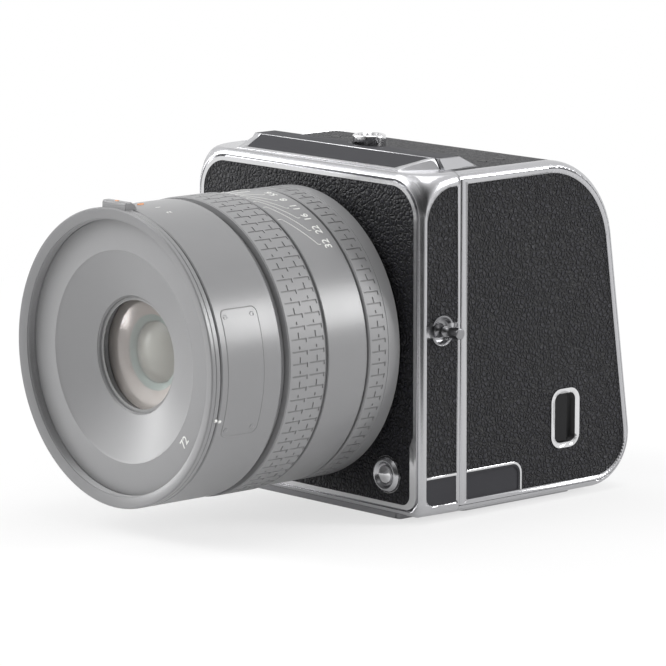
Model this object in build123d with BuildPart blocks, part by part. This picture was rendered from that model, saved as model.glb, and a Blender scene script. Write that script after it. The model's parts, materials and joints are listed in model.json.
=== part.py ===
"""Medium format digital camera: a slim camera body, a digital back and a lens.

Millimetres. +Z is up, the lens points along -Y and +X is the side with the opening door.
The origin is the mouth of the tripod socket, on the plane that the camera stands on.
"""
import os
from math import asin, atan2, cos, radians, sin, sqrt

from build123d import *

os.makedirs("parts", exist_ok=True)

# Driving dimensions of the whole camera
side_plane = 44.4        # half width over the side panels
front_y = -11.0          # plane of the front leather
parting_y = 2.7          # joint between the camera body and the digital back
base_z = 1.5             # underside of both housings, lifted off the ground by the foot
top_z = 91.5             # top of both housings
lens_z = 46.3            # height of the lens axis
barrel_r = 38.9          # outside of the lens barrel

# Sizes shared by many pieces
overrun = 1.0            # how far a cutting shape runs past the face that it cuts
leather = 0.7            # leather thickness
wall = 2.4               # walls of both housings
roll = 2.6               # rounding of the long edges
seat_gap = 0.15          # gap round a loose cover
fit = 0.05               # radial gap of round parts seated in a hole
running = 0.06           # radial gap of parts that turn or slide in each other
proud = 0.1              # how far bright trim stands out of the leather round it
small_round = 0.5        # rounding of small corners


def facing_front(y):
    """Plane across the camera at y, with X to the right and Z up, its normal pointing forward."""
    return Plane.XZ.offset(-y)


def facing_side(x):
    """Plane along the camera at x, with Y and Z as its axes and its normal pointing to +X."""
    return Plane.YZ.offset(x)


def facing_up(z):
    """Level plane at z."""
    return Plane.XY.offset(z)


def on_lens(y):
    """Plane square to the lens axis at y and centred on it, its normal pointing forward."""
    return Plane(origin=(0, y, lens_z), x_dir=(1, 0, 0), z_dir=(0, -1, 0))


def rounded(plane, points, radii):
    """Face on a plane from corner points, with a rounding at each."""
    with BuildSketch(plane) as face:
        with BuildLine():
            FilletPolyline(*points, close=True, radius=radii)
        make_face()
    return face.sketch


def panel(plane, u_range, v_range, radius):
    """Rectangular face on a plane between two pairs of places, with rounded corners."""
    points = [(u_range[0], v_range[0]), (u_range[1], v_range[0]),
              (u_range[1], v_range[1]), (u_range[0], v_range[1])]
    return rounded(plane, points, [radius] * 4)


def disc(plane, u, v, radius):
    """Round face on a plane."""
    with BuildSketch(plane) as face:
        with Locations((u, v)):
            Circle(radius)
    return face.sketch


def half_section(points):
    """Half section of a turned part on the lens axis, from (place along Y, radius) corners."""
    with BuildSketch(Plane.YZ) as half:
        with BuildLine():
            Polyline(*[(y, lens_z + r) for y, r in points], close=True)
        make_face()
    return half.sketch


def tube(rear, front, inner, outer):
    """Half section of a plain tube on the lens axis."""
    return half_section([(rear, inner), (rear, outer), (front, outer), (front, inner)])


def wedges(y, centre_angles, span, reach):
    """Wedge faces on the lens axis, to keep or cut sectors of a ring."""
    with BuildSketch(on_lens(y)) as fan:
        for middle in centre_angles:
            corners = [(0, 0)]
            for turn in (-span / 2, 0, span / 2):
                angle = radians(middle + turn)
                corners.append((reach * cos(angle), reach * sin(angle)))
            with BuildLine():
                Polyline(*corners, close=True)
            make_face()
    return fan.sketch


def finish(part, name):
    """Label a finished piece and write it."""
    part.label = name
    export_step(part, "parts/" + name + ".step")


lens_axis = Axis((0, 0, lens_z), (0, 1, 0))

# Front face of the camera body
front_step = 1.1         # the front face is drawn in this much at the sides
front_rise = 1.2         # this much at the bottom
front_drop = 1.4         # and this much at the top
frame_half = side_plane - front_step
frame_low = base_z + front_rise
frame_high = top_z - front_drop
frame_y = front_y + proud                # the front face lies just behind the leather
nose_depth = 0.7         # middle of the rounded front edge, behind the front leather
nose_y = front_y + nose_depth
shoulder_depth = 1.4     # where the side walls start
shoulder_y = front_y + shoulder_depth
nose_share = 0.68        # how much of the rounding is done at its middle
joint_depth = 1.0        # this far ahead of the joint the long edges get one rounding
joint_corner_y = parting_y - joint_depth
big_corner = 11.0        # blended top corner at the shoulder
low_corner = 3.4         # bottom corner at the shoulder
corner_step = 0.5        # how much the corners tighten at each station ahead of the shoulder
blend_shares = (1.0, 0.96, 0.87, 0.73, 0.55, 0.3, 0.0)
cavity_corner = 9.0
side_wall = 3.2          # side walls, deep enough for the strap cups
cavity_half = side_plane - side_wall     # half width of the space inside both housings
roof_z = top_z - wall    # underside of the roofs
floor_z = base_z + wall


def body_outline(y, half, low, high, top_r, low_r):
    """Outline of the camera body across the lens axis."""
    points = [(half, low), (half, high), (-half, high), (-half, low)]
    return rounded(facing_front(y), points, [low_r, top_r, top_r, low_r])


# Front leather, with its lower sides drawn in beside the buttons
panel_side = 1.9         # metal beside the front leather
panel_rim = 1.8          # metal above and below it
panel_half = frame_half - panel_side
panel_low = frame_low + panel_rim
panel_high = frame_high - panel_rim
panel_step = 1.3         # the leather is this much narrower beside the buttons
button_room = 16.0       # height of the narrower part
step_z = panel_low + button_room
step_rise = 2.6          # height over which it narrows
panel_corner = 8.5       # top corners
panel_foot = 2.8         # bottom corners
step_blend = 1.6
bead_width = 1.1         # bright bead round the front leather
groove_width = 0.5       # dark groove round the bead
groove_depth = 0.4
wall_front_y = front_y + leather         # front of the wall behind the leather
wall_back_y = wall_front_y + wall        # inside of the front wall


def panel_outline(y):
    """Outline of the front leather."""
    inset = panel_half - panel_step
    knee = step_z + step_rise
    right = [(inset, panel_low), (inset, step_z), (panel_half, knee), (panel_half, panel_high)]
    left = [(-u, v) for u, v in reversed(right)]
    radii = [panel_foot, step_blend, step_blend, panel_corner]
    return rounded(facing_front(y), right + left, radii + radii[::-1])


def grown_outline(y, grow):
    """Plain outline of the front panel, grown all round."""
    return body_outline(y, panel_half + grow, panel_low - grow, panel_high + grow,
                        panel_corner + grow, panel_foot + grow)


# Lens mount
flange_rise = 2.0        # the lens seats this far ahead of the front leather
flange_y = front_y - flange_rise
mount_bore_r = 29.15     # free opening of the mount
tail_wall = 2.6          # wall of the lens's tail
tab_height = 2.5         # height of the lens tabs
tab_thick = 1.6
notch_gap = 0.25         # gap round the tabs in the notches
tab_room = 0.65          # gap round the tabs behind the lip
neck_wall = 0.9
neck_short = 0.7         # the neck ends this far ahead of the inside of the wall
flange_width = 3.2       # face that the lens seats on
lens_tail_r = mount_bore_r - seat_gap
lens_tail_bore_r = lens_tail_r - tail_wall
tab_r = lens_tail_r + tab_height
notch_r = tab_r + notch_gap              # notches that let the tabs in
tab_space_r = notch_r + tab_room         # free space behind the lip
mount_neck_r = tab_space_r + neck_wall   # part of the ring that passes through the front wall
mount_ring_r = mount_neck_r + flange_width
mount_neck_y = wall_back_y - neck_short
lip_back_y = frame_y     # rear face of the lip that the lens tabs hold behind
tab_front_y = lip_back_y + proud
lens_tail_y = tab_front_y + tab_thick
tab_angles = (30, 150, 270)
notch_angles = (90, 210, 330)
tab_span = 56.0
notch_span = 58.5

# Lens release: button, link and locking pin
button_inset = 12.6      # from the side panels to the buttons
button_rise = 10.4       # from the underside to the buttons
button_x = side_plane - button_inset
button_z = base_z + button_rise
release_r = 2.5
release_rise = 0.9       # the button stands this far ahead of the leather
release_front_y = front_y - release_rise
release_round = 0.5
pin_r = 1.0
pin_ring_r = (mount_neck_r + mount_ring_r) / 2
pin_reach = 1.2          # the pin stands this far out of the mount's face
pin_front_y = flange_y - pin_reach
link_room = 2.9          # room behind the front wall for the button's travel
link_y = wall_back_y + link_room
link_depth = 0.8
link_half = 1.9
release_angle = atan2(button_z - lens_z, -button_x)
pin_x = pin_ring_r * cos(release_angle)
pin_z = lens_z + pin_ring_r * sin(release_angle)

# Shutter button, its dial and the dial's seat
seat_r = 5.0
seat_bore_r = 3.0
seat_neck_wall = 0.55
seat_neck_r = seat_bore_r + seat_neck_wall
seat_rise = 0.25         # the seat stands this far ahead of the leather
seat_front_y = front_y - seat_rise
seat_short = 0.55        # its neck ends this far ahead of the inside of the wall
seat_tail_y = wall_back_y - seat_short
button_hole_r = seat_neck_r + fit
dial_back_y = seat_front_y - proud
dial_height = 1.25
dial_front_y = dial_back_y - dial_height
dial_r = seat_r - proud
dial_taper = 0.9         # slant of the dial's edge
dial_front_r = dial_r - dial_taper
dial_edge = 0.35         # flat on the dial's front
dial_rim_r = dial_front_r - dial_edge
dial_mouth_r = 2.9
dial_mouth = 1.0         # depth of the funnel round the button
dial_mouth_y = dial_front_y + dial_mouth
dial_step = 0.4          # ledge at the bottom of the funnel
dial_bore_r = dial_mouth_r - dial_step
dial_sleeve_r = seat_bore_r - running
clip_width = 0.36        # clip that holds the dial behind its seat
clip_thick = 0.3
dial_clip_r = dial_sleeve_r + clip_width
dial_clip_y = seat_tail_y + proud
dial_tail_y = dial_clip_y + clip_thick
button_gap = 0.08
shutter_r = dial_bore_r - button_gap
button_sink = 0.4        # the button's rim lies this far inside the dial
shutter_rim_y = dial_front_y + button_sink
button_crown = 0.55
shutter_crown_y = shutter_rim_y - button_crown
collar_front_y = dial_tail_y + proud
collar_thick = 0.5
collar_back_y = collar_front_y + collar_thick
collar_width = 0.48      # collar that keeps the button in
collar_r = shutter_r + collar_width

# Sides of the camera body
side_front = 1.9         # from the front leather to the side leather
side_rear = 0.9          # from the side leather to the joint
side_rise = 3.1          # metal below the side leather
side_drop = 3.45         # metal above it
side_seat = 0.8          # depth of the seats of leather and plates
plate_sink = 0.25        # the bare plates lie this much below the side
plate_height = 7.1
plate_bar = 0.7          # bright bar between a bare plate and the leather
side_front_y = front_y + side_front
side_rear_y = parting_y - side_rear
side_low = base_z + side_rise
side_high = top_z - side_drop
side_corner = 9.5        # large top corner of the side leather
side_foot = 2.5
side_seat_x = side_plane - side_seat     # floor that leather and plates sit on
leather_x = side_plane - proud           # outer face of side leather
plate_x = side_plane - plate_sink        # outer face of the bare plates
plate_top_z = side_low + plate_height
leather_low_z = plate_top_z + plate_bar
lug_back = 6.15          # from the strap cup's centre to the joint
lug_y = parting_y - lug_back
lug_z = 50.6
cup_r = 4.0
cup_rim = 0.55
cup_rim_r = cup_r - cup_rim
cup_seat_x = side_plane - wall
cup_base = 0.7
cup_floor_x = cup_seat_x + cup_base
slot_half = 1.7          # half height of the slot through the cup
stud_flange_r = 1.9
stud_flange = 0.6
stud_flange_x = cup_floor_x + stud_flange
stud_neck_r = 1.05
stud_collar_r = 1.5
stud_neck = 1.8          # lengths along the stud: neck, collar, waist and head
stud_collar_length = 0.9
stud_waist = 1.9
stud_head = 3.3
stud_collar = (stud_flange_x + stud_neck, stud_flange_x + stud_neck + stud_collar_length)
stud_neck_end_x = stud_collar[1] + stud_waist
stud_head_r = 1.48
stud_end_x = stud_neck_end_x + stud_head
stud_round = 0.3

# Inside of the camera body
rear_plate = 1.5         # thickness of the body's rear plate
rear_plate_y = parting_y - rear_plate
gate_half_w = 24.5
gate_half_h = 19.0
gate_corner = 2.5
throat_inset = 0.85      # the throat is this much narrower than the mount
throat_r = mount_bore_r - throat_inset
throat_flange_r = mount_neck_r - 2 * proud
throat_front_y = mount_neck_y + proud
throat_flange = 0.7
throat_wall = 0.9

# Foot and tripod socket
foot_half = 34.6
foot_back = 1.5          # from the front leather to the foot
foot_reach = 6.4         # the foot reaches this far past the joint
foot_y = (front_y + foot_back, parting_y + foot_reach)
foot_corner = 1.2
foot_groove = 0.4
foot_end = 1.4           # groove near each end of the foot
foot_groove_x = foot_half - foot_end
socket_wall = 1.4
socket_roof = 0.8
socket_thread_r = 3.2
socket_r = socket_thread_r + socket_wall
socket_depth = 5.2
socket_tip_r = 2.8       # drill tip at the end of the thread
socket_tip = 0.3
socket_top_z = socket_depth + socket_roof

with BuildPart() as body_frame:
    stations = [body_outline(frame_y, frame_half, frame_low, frame_high,
                             big_corner - 2 * corner_step, low_corner - 2 * corner_step)]
    stations.append(body_outline(nose_y, frame_half + (side_plane - frame_half) * nose_share,
                                 frame_low + (base_z - frame_low) * nose_share,
                                 frame_high + (top_z - frame_high) * nose_share,
                                 big_corner - corner_step, low_corner - corner_step))
    for share in blend_shares:
        curl = 1.0 - sqrt(1.0 - share * share)
        stations.append(body_outline(joint_corner_y + (shoulder_y - joint_corner_y) * share,
                                     side_plane, base_z, top_z,
                                     roll + (big_corner - roll) * curl, roll + (low_corner - roll) * share))
    stations.append(body_outline(parting_y, side_plane, base_z, top_z, roll, roll))
    loft(stations, ruled=True)
    # hollow, open to the rear
    extrude(body_outline(parting_y, cavity_half, floor_z, roof_z, cavity_corner, roll),
            amount=parting_y - wall_back_y, mode=Mode.SUBTRACT)
    # seat of the front leather and its bead, with the groove round them
    extrude(grown_outline(wall_front_y, bead_width), amount=leather + overrun, mode=Mode.SUBTRACT)
    extrude(grown_outline(frame_y + groove_depth, bead_width + groove_width), amount=groove_depth + overrun,
            mode=Mode.SUBTRACT)
    # openings for the mount, the buttons and the locking pin
    through = wall + overrun
    extrude(disc(on_lens(wall_back_y), 0, 0, mount_neck_r + fit), amount=through, mode=Mode.SUBTRACT)
    extrude(disc(facing_front(wall_back_y), button_x, button_z, button_hole_r), amount=through,
            mode=Mode.SUBTRACT)
    extrude(disc(facing_front(wall_back_y), -button_x, button_z, release_r + running), amount=through,
            mode=Mode.SUBTRACT)
    extrude(disc(facing_front(wall_back_y), pin_x, pin_z, pin_r + fit), amount=through, mode=Mode.SUBTRACT)
    # seats of the side leather, the bare plate and the strap cups
    outward = side_plane - side_seat_x + overrun
    right_panels = [(leather_low_z, side_high, small_round, side_corner),
                    (side_low, plate_top_z, side_foot, small_round)]
    left_panels = [(side_low, side_high, side_foot, side_corner)]
    for side, panels in ((1, right_panels), (-1, left_panels)):
        for low, high, foot_r, head_r in panels:
            corners = [(side_front_y, low), (side_rear_y, low), (side_rear_y, high), (side_front_y, high)]
            extrude(rounded(facing_side(side * side_seat_x), corners,
                            [foot_r, small_round, small_round, head_r]),
                    amount=side * outward, mode=Mode.SUBTRACT)
        extrude(disc(facing_side(side * cup_seat_x), lug_y, lug_z, cup_r + fit),
                amount=side * (wall + overrun),
                mode=Mode.SUBTRACT)
    # hole for the tripod socket
    extrude(disc(facing_up(0), 0, 0, socket_r + fit), amount=socket_top_z, mode=Mode.SUBTRACT)
finish(body_frame.part, "body_frame")

with BuildPart() as front_leather:
    extrude(panel_outline(wall_front_y), amount=leather)
    extrude(disc(on_lens(wall_front_y), 0, 0, mount_ring_r + seat_gap), amount=leather + overrun,
            mode=Mode.SUBTRACT)
    for place in (button_x, -button_x):
        extrude(disc(facing_front(wall_front_y), place, button_z, seat_r + fit), amount=leather + overrun,
                mode=Mode.SUBTRACT)
finish(front_leather.part, "front_leather")

with BuildPart() as front_bead:
    extrude(grown_outline(wall_front_y, bead_width), amount=leather + proud)
    extrude(panel_outline(wall_front_y), amount=leather + overrun, mode=Mode.SUBTRACT)
finish(front_bead.part, "front_bead")

with BuildPart() as body_leather_right:
    corners = [(side_front_y, leather_low_z), (side_rear_y, leather_low_z), (side_rear_y, side_high),
               (side_front_y, side_high)]
    extrude(rounded(facing_side(side_seat_x), corners, [small_round, small_round, small_round, side_corner]),
            amount=leather_x - side_seat_x)
    extrude(disc(facing_side(side_seat_x), lug_y, lug_z, cup_r + fit), amount=outward, mode=Mode.SUBTRACT)
    # the slot through the cup parts the leather into an upper and a lower strip
    extrude(panel(facing_side(side_seat_x), (side_front_y - overrun, side_rear_y + overrun),
                  (lug_z - slot_half, lug_z + slot_half), 0), amount=outward, mode=Mode.SUBTRACT)
finish(body_leather_right.part, "body_leather_right")

with BuildPart() as body_leather_left:
    corners = [(side_front_y, side_low), (side_rear_y, side_low), (side_rear_y, side_high),
               (side_front_y, side_high)]
    extrude(rounded(facing_side(-side_seat_x), corners, [side_foot, small_round, small_round, side_corner]),
            amount=side_seat_x - leather_x)
    extrude(disc(facing_side(-side_seat_x), lug_y, lug_z, cup_r + fit), amount=-outward, mode=Mode.SUBTRACT)
    extrude(panel(facing_side(-side_seat_x), (side_front_y - overrun, side_rear_y + overrun),
                  (lug_z - slot_half, lug_z + slot_half), 0), amount=-outward, mode=Mode.SUBTRACT)
finish(body_leather_left.part, "body_leather_left")

with BuildPart() as body_side_plate:
    corners = [(side_front_y, side_low), (side_rear_y, side_low), (side_rear_y, plate_top_z),
               (side_front_y, plate_top_z)]
    extrude(rounded(facing_side(side_seat_x), corners, [side_foot, small_round, small_round, small_round]),
            amount=plate_x - side_seat_x)
finish(body_side_plate.part, "body_side_plate")

with BuildPart() as strap_cups:
    for side in (1, -1):
        plane = facing_side(side * cup_seat_x)
        extrude(disc(plane, lug_y, lug_z, cup_r), amount=side * (side_plane + proud - cup_seat_x))
    for side in (1, -1):
        plane = facing_side(side * cup_floor_x)
        extrude(disc(plane, lug_y, lug_z, cup_rim_r), amount=side * wall, mode=Mode.SUBTRACT)
        plane = facing_side(side * side_seat_x)
        extrude(panel(plane, (lug_y - cup_r - overrun, lug_y + cup_r + overrun),
                      (lug_z - slot_half, lug_z + slot_half), 0), amount=side * outward, mode=Mode.SUBTRACT)
finish(strap_cups.part, "strap_cups")

with BuildPart() as strap_studs:
    for side in (1, -1):
        steps = [(cup_floor_x, stud_flange_x, stud_flange_r), (stud_flange_x, stud_collar[0], stud_neck_r),
                 (stud_collar[0], stud_collar[1], stud_collar_r),
                 (stud_collar[1], stud_neck_end_x, stud_neck_r),
                 (stud_neck_end_x, stud_end_x, stud_head_r)]
        for start, end, radius in steps:
            extrude(disc(facing_side(side * start), lug_y, lug_z, radius), amount=side * (end - start))
    ends = strap_studs.edges().filter_by(GeomType.CIRCLE).sort_by(Axis.X)
    fillet([ends[0], ends[-1]], stud_round)
finish(strap_studs.part, "strap_studs")

with BuildPart() as body_mount_ring:
    revolve(half_section([(flange_y, mount_bore_r), (flange_y, mount_ring_r), (wall_front_y, mount_ring_r),
                          (wall_front_y, mount_neck_r), (mount_neck_y, mount_neck_r),
                          (mount_neck_y, tab_space_r),
                          (lip_back_y, tab_space_r), (lip_back_y, mount_bore_r)]), axis=lens_axis)
    with BuildPart(mode=Mode.PRIVATE) as notch:
        extrude(disc(on_lens(lip_back_y), 0, 0, notch_r), amount=lip_back_y - flange_y + overrun)
        extrude(wedges(lip_back_y, notch_angles, notch_span, 2 * notch_r),
                amount=lip_back_y - flange_y + overrun,
                mode=Mode.INTERSECT)
    add(notch.part, mode=Mode.SUBTRACT)
    extrude(disc(facing_front(wall_front_y), pin_x, pin_z, pin_r + running),
            amount=wall_front_y - flange_y + overrun,
            mode=Mode.SUBTRACT)
finish(body_mount_ring.part, "body_mount_ring")

with BuildPart() as light_throat:
    extrude(disc(on_lens(throat_front_y + throat_flange), 0, 0, throat_flange_r), amount=throat_flange)
    outer_gate = panel(on_lens(rear_plate_y), (-gate_half_w - throat_wall, gate_half_w + throat_wall),
                       (-gate_half_h - throat_wall, gate_half_h + throat_wall), gate_corner + throat_wall)
    loft([disc(on_lens(throat_front_y + throat_flange), 0, 0, throat_r + throat_wall), outer_gate])
    inner_gate = panel(on_lens(rear_plate_y), (-gate_half_w, gate_half_w), (-gate_half_h, gate_half_h),
                       gate_corner)
    loft([disc(on_lens(throat_front_y + throat_flange), 0, 0, throat_r), inner_gate], mode=Mode.SUBTRACT)
    extrude(disc(on_lens(throat_front_y + throat_flange), 0, 0, throat_r), amount=throat_flange + overrun,
            mode=Mode.SUBTRACT)
finish(light_throat.part, "light_throat")

with BuildPart() as body_rear_plate:
    extrude(body_outline(parting_y, cavity_half - proud, floor_z + proud, roof_z - proud,
                         cavity_corner - proud, roll - proud), amount=parting_y - rear_plate_y)
    extrude(panel(on_lens(parting_y), (-gate_half_w, gate_half_w), (-gate_half_h, gate_half_h), gate_corner),
            amount=wall, mode=Mode.SUBTRACT)
    extrude(disc(facing_up(0), 0, 0, socket_r + fit), amount=socket_top_z + fit, mode=Mode.SUBTRACT)
finish(body_rear_plate.part, "body_rear_plate")

with BuildPart() as dial_seat:
    extrude(disc(facing_front(wall_front_y), button_x, button_z, seat_r), amount=wall_front_y - seat_front_y)
    extrude(disc(facing_front(seat_tail_y), button_x, button_z, seat_neck_r),
            amount=seat_tail_y - wall_front_y)
    extrude(disc(facing_front(seat_tail_y), button_x, button_z, seat_bore_r),
            amount=seat_tail_y - seat_front_y + overrun,
            mode=Mode.SUBTRACT)
finish(dial_seat.part, "dial_seat")

with BuildPart() as control_dial:
    place = Plane(origin=(button_x, 0, button_z), x_dir=(0, 1, 0), z_dir=(1, 0, 0))
    section = [(dial_back_y, dial_sleeve_r), (dial_back_y, dial_r), (dial_front_y, dial_front_r),
               (dial_front_y, dial_rim_r), (dial_mouth_y, dial_mouth_r), (dial_mouth_y, dial_bore_r),
               (dial_tail_y, dial_bore_r), (dial_tail_y, dial_clip_r), (dial_clip_y, dial_clip_r),
               (dial_clip_y, dial_sleeve_r)]
    with BuildSketch(place):
        with BuildLine():
            Polyline(*section, close=True)
        make_face()
    revolve(axis=Axis((button_x, 0, button_z), (0, 1, 0)))
finish(control_dial.part, "control_dial")

with BuildPart() as shutter_button:
    extrude(disc(facing_front(collar_back_y), button_x, button_z, collar_r),
            amount=collar_back_y - collar_front_y)
    extrude(disc(facing_front(collar_front_y), button_x, button_z, shutter_r),
            amount=collar_front_y - shutter_rim_y)
    crown = shutter_rim_y - shutter_crown_y
    ball_r = (shutter_r * shutter_r + crown * crown) / (2 * crown)
    with BuildPart(Plane(origin=(button_x, shutter_crown_y + ball_r, button_z)), mode=Mode.PRIVATE) as dome:
        Sphere(ball_r)
        extrude(disc(facing_front(shutter_rim_y), button_x, button_z, shutter_r), amount=crown + overrun,
                mode=Mode.INTERSECT)
    add(dome.part)
finish(shutter_button.part, "shutter_button")

with BuildPart() as lens_release:
    extrude(disc(facing_front(link_y), -button_x, button_z, release_r), amount=link_y - release_front_y)
    fillet(lens_release.edges().sort_by(Axis.Y)[0], release_round)
    extrude(disc(facing_front(link_y), pin_x, pin_z, pin_r), amount=link_y - pin_front_y)
    along = Plane(origin=((pin_x - button_x) / 2, link_y + link_depth, (pin_z + button_z) / 2),
                  x_dir=(-cos(release_angle), 0, -sin(release_angle)), z_dir=(0, -1, 0))
    with BuildSketch(along):
        SlotCenterToCenter(sqrt((pin_x + button_x) ** 2 + (pin_z - button_z) ** 2), 2 * link_half)
    extrude(amount=link_depth)
finish(lens_release.part, "lens_release")

with BuildPart() as foot_plate:
    extrude(panel(facing_up(0), (-foot_half, foot_half), foot_y, foot_corner), amount=base_z)
    extrude(disc(facing_up(0), 0, 0, socket_r + fit), amount=base_z, mode=Mode.SUBTRACT)
    for side in (1, -1):
        middle = side * foot_groove_x
        extrude(panel(facing_up(0), (middle - foot_groove / 2, middle + foot_groove / 2),
                      (foot_y[0] - overrun, foot_y[0] + foot_groove), 0), amount=base_z, mode=Mode.SUBTRACT)
finish(foot_plate.part, "foot_plate")

with BuildPart() as tripod_socket:
    extrude(disc(facing_up(0), 0, 0, socket_r), amount=socket_top_z - fit)
    extrude(disc(facing_up(0), 0, 0, socket_thread_r), amount=socket_depth, mode=Mode.SUBTRACT)
    extrude(disc(facing_up(0), 0, 0, socket_tip_r), amount=socket_depth + socket_tip, mode=Mode.SUBTRACT)
finish(tripod_socket.part, "tripod_socket")

# Raised metal bridge over both housings
bridge_start = 3.4       # from the front leather to the bridge
bridge_length = 11.5     # of its part on the back
bridge_slope = 4.4       # length of its rear slope
bridge_height = 2.8
bridge_insets = (12.7, 7.8, 5.9)         # its foot, in from the sides: front, joint and rear
bridge_leans = (1.8, 2.3)                # slant of its ends: at the joint and at the rear
shield_margins = (2.7, 1.8)              # metal beside the shield: at the front and at the joint
bridge_front_y = front_y + bridge_start
bridge_rear_y = parting_y + proud + bridge_length        # foot of the rear slope
bridge_flat_y = bridge_rear_y - bridge_slope             # rear edge of the flat top
bridge_z = top_z + bridge_height
bridge_step = 0.25       # height of the bridge's front edge
front_foot_half = side_plane - bridge_insets[0]
split_foot_half = side_plane - bridge_insets[1]
split_top_half = split_foot_half - bridge_leans[0]
rear_foot_half = side_plane - bridge_insets[2]
rear_top_half = rear_foot_half - bridge_leans[1]
split_y = parting_y - proud              # rear end of the front part
back_front_y = parting_y + proud         # front edge of the digital back
shield_low_half = front_foot_half - shield_margins[0]
shield_high_half = split_top_half - shield_margins[1]
shield_range = (1.35, 10.1)              # lower and upper edge of the shield, along the slope
shield_depth = 0.5
slope = atan2(bridge_z - top_z - bridge_step, split_y - bridge_front_y)
slope_plane = Plane(origin=(0, bridge_front_y, top_z + bridge_step), x_dir=(1, 0, 0),
                    z_dir=(0, -sin(slope), cos(slope)))


def trapezoid(y, foot_half, head_half, high):
    """Cross section of the bridge."""
    with BuildSketch(facing_front(y)) as face:
        with BuildLine():
            Polyline((-foot_half, top_z), (foot_half, top_z), (head_half, high), (-head_half, high),
                     close=True)
        make_face()
    return face.sketch


def shield_outline(grow):
    """Outline of the shield plate on the bridge's slope."""
    low, high = shield_range
    points = [(shield_low_half + grow, low - grow), (shield_high_half + grow, high + grow),
              (-shield_high_half - grow, high + grow), (-shield_low_half - grow, low - grow)]
    with BuildSketch(slope_plane) as face:
        with BuildLine():
            Polyline(*points, close=True)
        make_face()
    return face.sketch


with BuildPart() as bridge_front:
    loft([trapezoid(bridge_front_y, front_foot_half, front_foot_half - bridge_step, top_z + bridge_step),
          trapezoid(split_y, split_foot_half, split_top_half, bridge_z)], ruled=True)
    extrude(shield_outline(seat_gap), amount=-shield_depth, mode=Mode.SUBTRACT)
finish(bridge_front.part, "bridge_front")

with BuildPart() as shield_plate:
    extrude(shield_outline(0), amount=-shield_depth)
finish(shield_plate.part, "shield_plate")

# Release knob on the top
knob_back = 8.7          # from the front of the digital back to the knob
knob_y = back_front_y + knob_back
knob_r = 4.45
knob_lift = 0.5
knob_height = 4.6
knob_z = (top_z + knob_lift, top_z + knob_lift + knob_height)
knob_rim = 1.15
knob_dish_r = knob_r - knob_rim
knob_dish = 0.6
knob_round = 0.5
slide_travel = 4.0
recess_margin = 1.15
recess_half = knob_r + recess_margin
recess_x = (-recess_half, recess_half + slide_travel)    # dark recess that the knob slides along
knob_plate_thick = 1.0
knob_plate_z = (knob_z[0] - proud - knob_plate_thick, knob_z[0] - proud)
stem_r = 1.5
slide_x = (-9.0, 9.0)
slide_half = 4.6
slide_thick = 1.25
slide_z = (roof_z - seat_gap - slide_thick, roof_z - seat_gap)


def recess_outline(z, grow):
    """Outline of the recess round the knob: a slot with round ends."""
    length = recess_x[1] - recess_x[0] - 2 * recess_half
    with BuildSketch(facing_up(z)) as face:
        with Locations(((recess_x[0] + recess_x[1]) / 2, knob_y)):
            SlotCenterToCenter(length, 2 * (recess_half + grow))
    return face.sketch


with BuildPart() as bridge_rear:
    base = panel(facing_up(top_z), (-rear_foot_half, rear_foot_half), (back_front_y, bridge_rear_y), 0)
    crest = panel(facing_up(bridge_z), (-rear_top_half, rear_top_half), (back_front_y, bridge_flat_y), 0)
    loft([base, crest], ruled=True)
    extrude(recess_outline(top_z, seat_gap), amount=bridge_z - top_z + overrun, mode=Mode.SUBTRACT)
finish(bridge_rear.part, "bridge_rear")

with BuildPart() as knob_plate:
    extrude(recess_outline(knob_plate_z[0], 0), amount=knob_plate_z[1] - knob_plate_z[0])
    extrude(panel(facing_up(knob_plate_z[0]), (-stem_r - running, slide_travel + stem_r + running),
                  (knob_y - stem_r - running, knob_y + stem_r + running), 0), amount=wall, mode=Mode.SUBTRACT)
finish(knob_plate.part, "knob_plate")

with BuildPart() as release_knob:
    extrude(disc(facing_up(knob_z[0]), 0, knob_y, knob_r), amount=knob_z[1] - knob_z[0])
    fillet(release_knob.edges().sort_by(Axis.Z)[-1], knob_round)
    extrude(disc(facing_up(knob_z[1] - knob_dish), 0, knob_y, knob_dish_r), amount=overrun,
            mode=Mode.SUBTRACT)
    extrude(disc(facing_up(slide_z[1]), 0, knob_y, stem_r), amount=knob_z[0] - slide_z[1])
    extrude(panel(facing_up(slide_z[0]), slide_x, (knob_y - slide_half, knob_y + slide_half), small_round),
            amount=slide_z[1] - slide_z[0])
finish(release_knob.part, "release_knob")

# Digital back
crown_back = 32.2        # from the front of the back to the centre of the large bend
crown_y = back_front_y + crown_back
crown_r = 25.1
crown_z = top_z - crown_r
heel_r = 13.7
lean_degrees = 8.0       # slant of the rear face
lean = radians(lean_degrees)
border = 3.2             # from the side leather's edge to the outside
rear_extra = 6.4         # the rear wall is this much thicker
door_depth = 2.3         # depth of the door's seat
door_wall = 2.3          # wall behind the door
door_floor_x = side_plane - door_depth
door_x = door_floor_x + proud            # inner face of the door
door_inset = 2.0
inner_wall_x = door_floor_x - door_wall  # inner face of the wall behind the door
knuckle_r = 1.1
knuckle_x = side_plane - knuckle_r
knuckle_y = back_front_y + proud + knuckle_r
hinge_pin_r = 0.45
hinge_pin_short = 0.9    # the pin ends this far inside the top and the bottom
hinge_pin_z = (base_z + hinge_pin_short, top_z - hinge_pin_short)
leather_front_y = knuckle_y + knuckle_r + 2 * proud
back_plate_rim = 0.3     # bright rim of the bare plate
back_plate_rise = 9.8    # from the underside to the plate's upper edge
back_plate_length = 18.7
back_plate_low_z = base_z + border + back_plate_rim
back_plate_z = base_z + back_plate_rise
back_plate_y = (leather_front_y + back_plate_rim, leather_front_y + back_plate_rim + back_plate_length)
back_plate_corner = 2.5
wrap_half = side_plane - roll - 2 * proud                # half width of the top leather
wrap_sink = 0.05         # the top leather lies this much below the metal
wrap_start = 0.8         # from the front of the back to the top leather
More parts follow.
